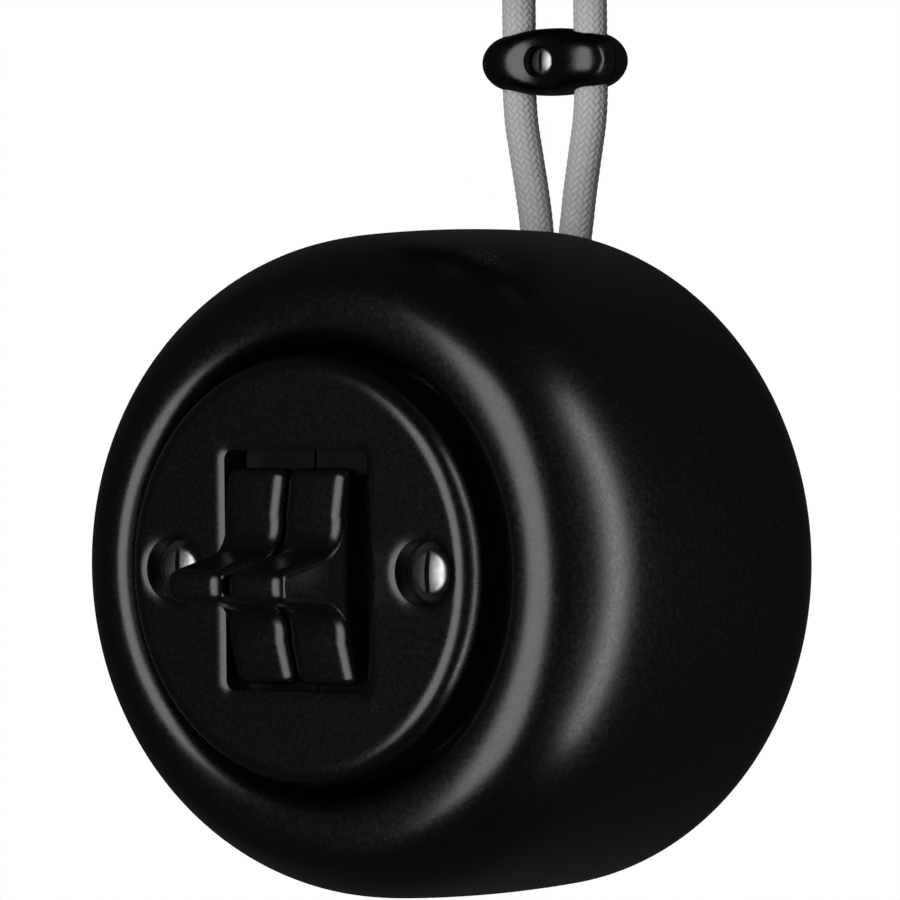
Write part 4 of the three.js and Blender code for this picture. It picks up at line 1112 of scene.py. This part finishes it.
def make_cup():
    middle = (CUP_RADIUS - CUP_TAPER - CUP_ROUNDING, CUP_BOTTOM + CUP_ROUNDING)

    def corner(rounding):
        angles = np.linspace(0, math.pi / 2, 16)
        return [(middle[0] + rounding * math.cos(a), middle[1] - rounding * math.sin(a)) for a in angles]

    top = cup_high.z / MM
    inner = CUP_RADIUS - CUP_WALL
    floor = CUP_BOTTOM + CUP_WALL
    outside = [(inner + 0.4, top), (CUP_RADIUS - 0.7, top)]
    outside += [(CUP_RADIUS - 0.2, top - 0.25), (CUP_RADIUS, top - 0.9)]
    outside += corner(CUP_ROUNDING) + [(4, CUP_BOTTOM), (0, CUP_BOTTOM)]
    inside = [(0, floor), (4, floor), *reversed(corner(CUP_ROUNDING - CUP_WALL))]
    profile = outside + inside + [(inner, top - 0.4), (inner + 0.4, top)]
    cup = turned("porcelain_ceiling_cup", profile, GLAZE, (0, 0, 0), 192, axis=along_z)
    for _, sign in SIDES:
        below, above = CUP_BOTTOM - 1, CUP_BOTTOM + 6
        hole = [(0, below), (BUSH_HOLE, below), (BUSH_HOLE, above), (0, above)]
        carve(cup, turned("hole", hole, GLAZE, Vector((sign * CORD_SPREAD * MM, 0, 0)), 48, axis=along_z))
    finish_piece(cup, ROOT, "black_porcelain", "ceiling_cup")


def make_bush(side):
    low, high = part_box(f"cord_bush_{side}")
    bottom, top = low.z / MM, high.z / MM
    bore = CORD_DIAMETER / 2 + 0.1
    under = CUP_BOTTOM - BUSH_GAP
    profile = [
        (bore, bottom + 0.3),
        (bore + 0.3, bottom),
        (BUSH_TIP, bottom),
        (BUSH_TIP + 0.4, bottom + 0.4),
        (5.0, bottom + 1.4),
        (5.8, bottom + 2.2),
        (6.4, bottom + 2.6),
        (BUSH_FLANGE, under - 0.2),
        (BUSH_FLANGE, under),
        (BUSH_NECK, under),
        (BUSH_NECK, top),
        (bore, top),
    ]
    place = Vector(((low.x + high.x) / 2, 0, 0))
    shape = {"axis": along_z, "closed": True, "sharp_above": 40}
    bush = turned(f"rubber_bush_{side}", profile, MOULDING, place, 96, **shape)
    finish_piece(bush, ROOT, "dark_moulding", f"cord_bush_{side}")


make_cup()
for bush_side, _ in SIDES:
    make_bush(bush_side)

# ------------------------------------------------------------------ pieces that stay as the frame has them

for part in frame["record"]["subparts"]:
    shown = frame["nodes"][part["node"]]
    shown.data.materials.clear()
    shown.data.materials.append(SLOT_MATERIALS[part["material_slot"]])

# ------------------------------------------------------------------ light and floor


def aim(obj, place, target):
    obj.location = place
    obj.rotation_mode = "QUATERNION"
    obj.rotation_quaternion = (Vector(target) - Vector(place)).to_track_quat("-Z", "Y")


LIGHT_DISTANCE = 1.3  # metres


def strip_light(name, azimuth, elevation, width, height, power):
    """An area light looking at the drum. Azimuth 0 is in front of the rosette, 90 is to its right."""
    data = bpy.data.lights.new(name, "AREA")
    data.shape = "RECTANGLE"
    data.size = width
    data.size_y = height
    data.energy = power
    lamp = bpy.data.objects.new(name, data)
    bpy.context.scene.collection.objects.link(lamp)
    a, e = math.radians(azimuth), math.radians(elevation)
    away = Vector((math.sin(a) * math.cos(e), -math.cos(a) * math.cos(e), math.sin(e)))
    aim(lamp, CENTRE + away * LIGHT_DISTANCE, CENTRE)
    lamp.visible_camera = False
    return lamp


def make_world():
    """Pale behind the object, and dim all round it, as black flags keep a glossy object dark."""
    world = bpy.data.worlds.new("studio")
    world.use_nodes = True
    tree = world.node_tree
    background = tree.nodes["Background"]
    background.inputs["Color"].default_value = (0.03, 0.03, 0.031, 1)
    pale = tree.nodes.new("ShaderNodeBackground")
    pale.inputs["Color"].default_value = (1, 1, 1, 1)
    path = tree.nodes.new("ShaderNodeLightPath")
    mix = tree.nodes.new("ShaderNodeMixShader")
    tree.links.new(path.outputs["Is Camera Ray"], mix.inputs["Fac"])
    tree.links.new(background.outputs[0], mix.inputs[1])
    tree.links.new(pale.outputs[0], mix.inputs[2])
    tree.links.new(mix.outputs[0], tree.nodes["World Output"].inputs["Surface"])
    bpy.context.scene.world = world


def make_floor():
    drop, reach = -0.42, 1.6  # metres
    glow = {"Emission_Color": (0.8, 0.8, 0.79, 1), "Emission_Strength": 0.75}
    surface = Surface("pale_floor", (0.5, 0.5, 0.49), 0.8, **glow)
    angles = np.linspace(0, 2 * math.pi, 96, endpoint=False)
    points = [(reach * math.cos(a), reach * math.sin(a), drop) for a in angles]
    floor = add_object("floor", points, [list(range(96))], surface.material)
    floor.visible_glossy = False
    floor.visible_shadow = False
    floor.visible_diffuse = False


make_world()
make_floor()
strip_light("front_light", azimuth=8, elevation=-2, width=0.98, height=2.8, power=33)
side_light = strip_light("side_light", azimuth=104, elevation=-1, width=0.32, height=3.0, power=17)
side_light.visible_diffuse = False
bpy.context.scene.view_settings.view_transform = "Standard"
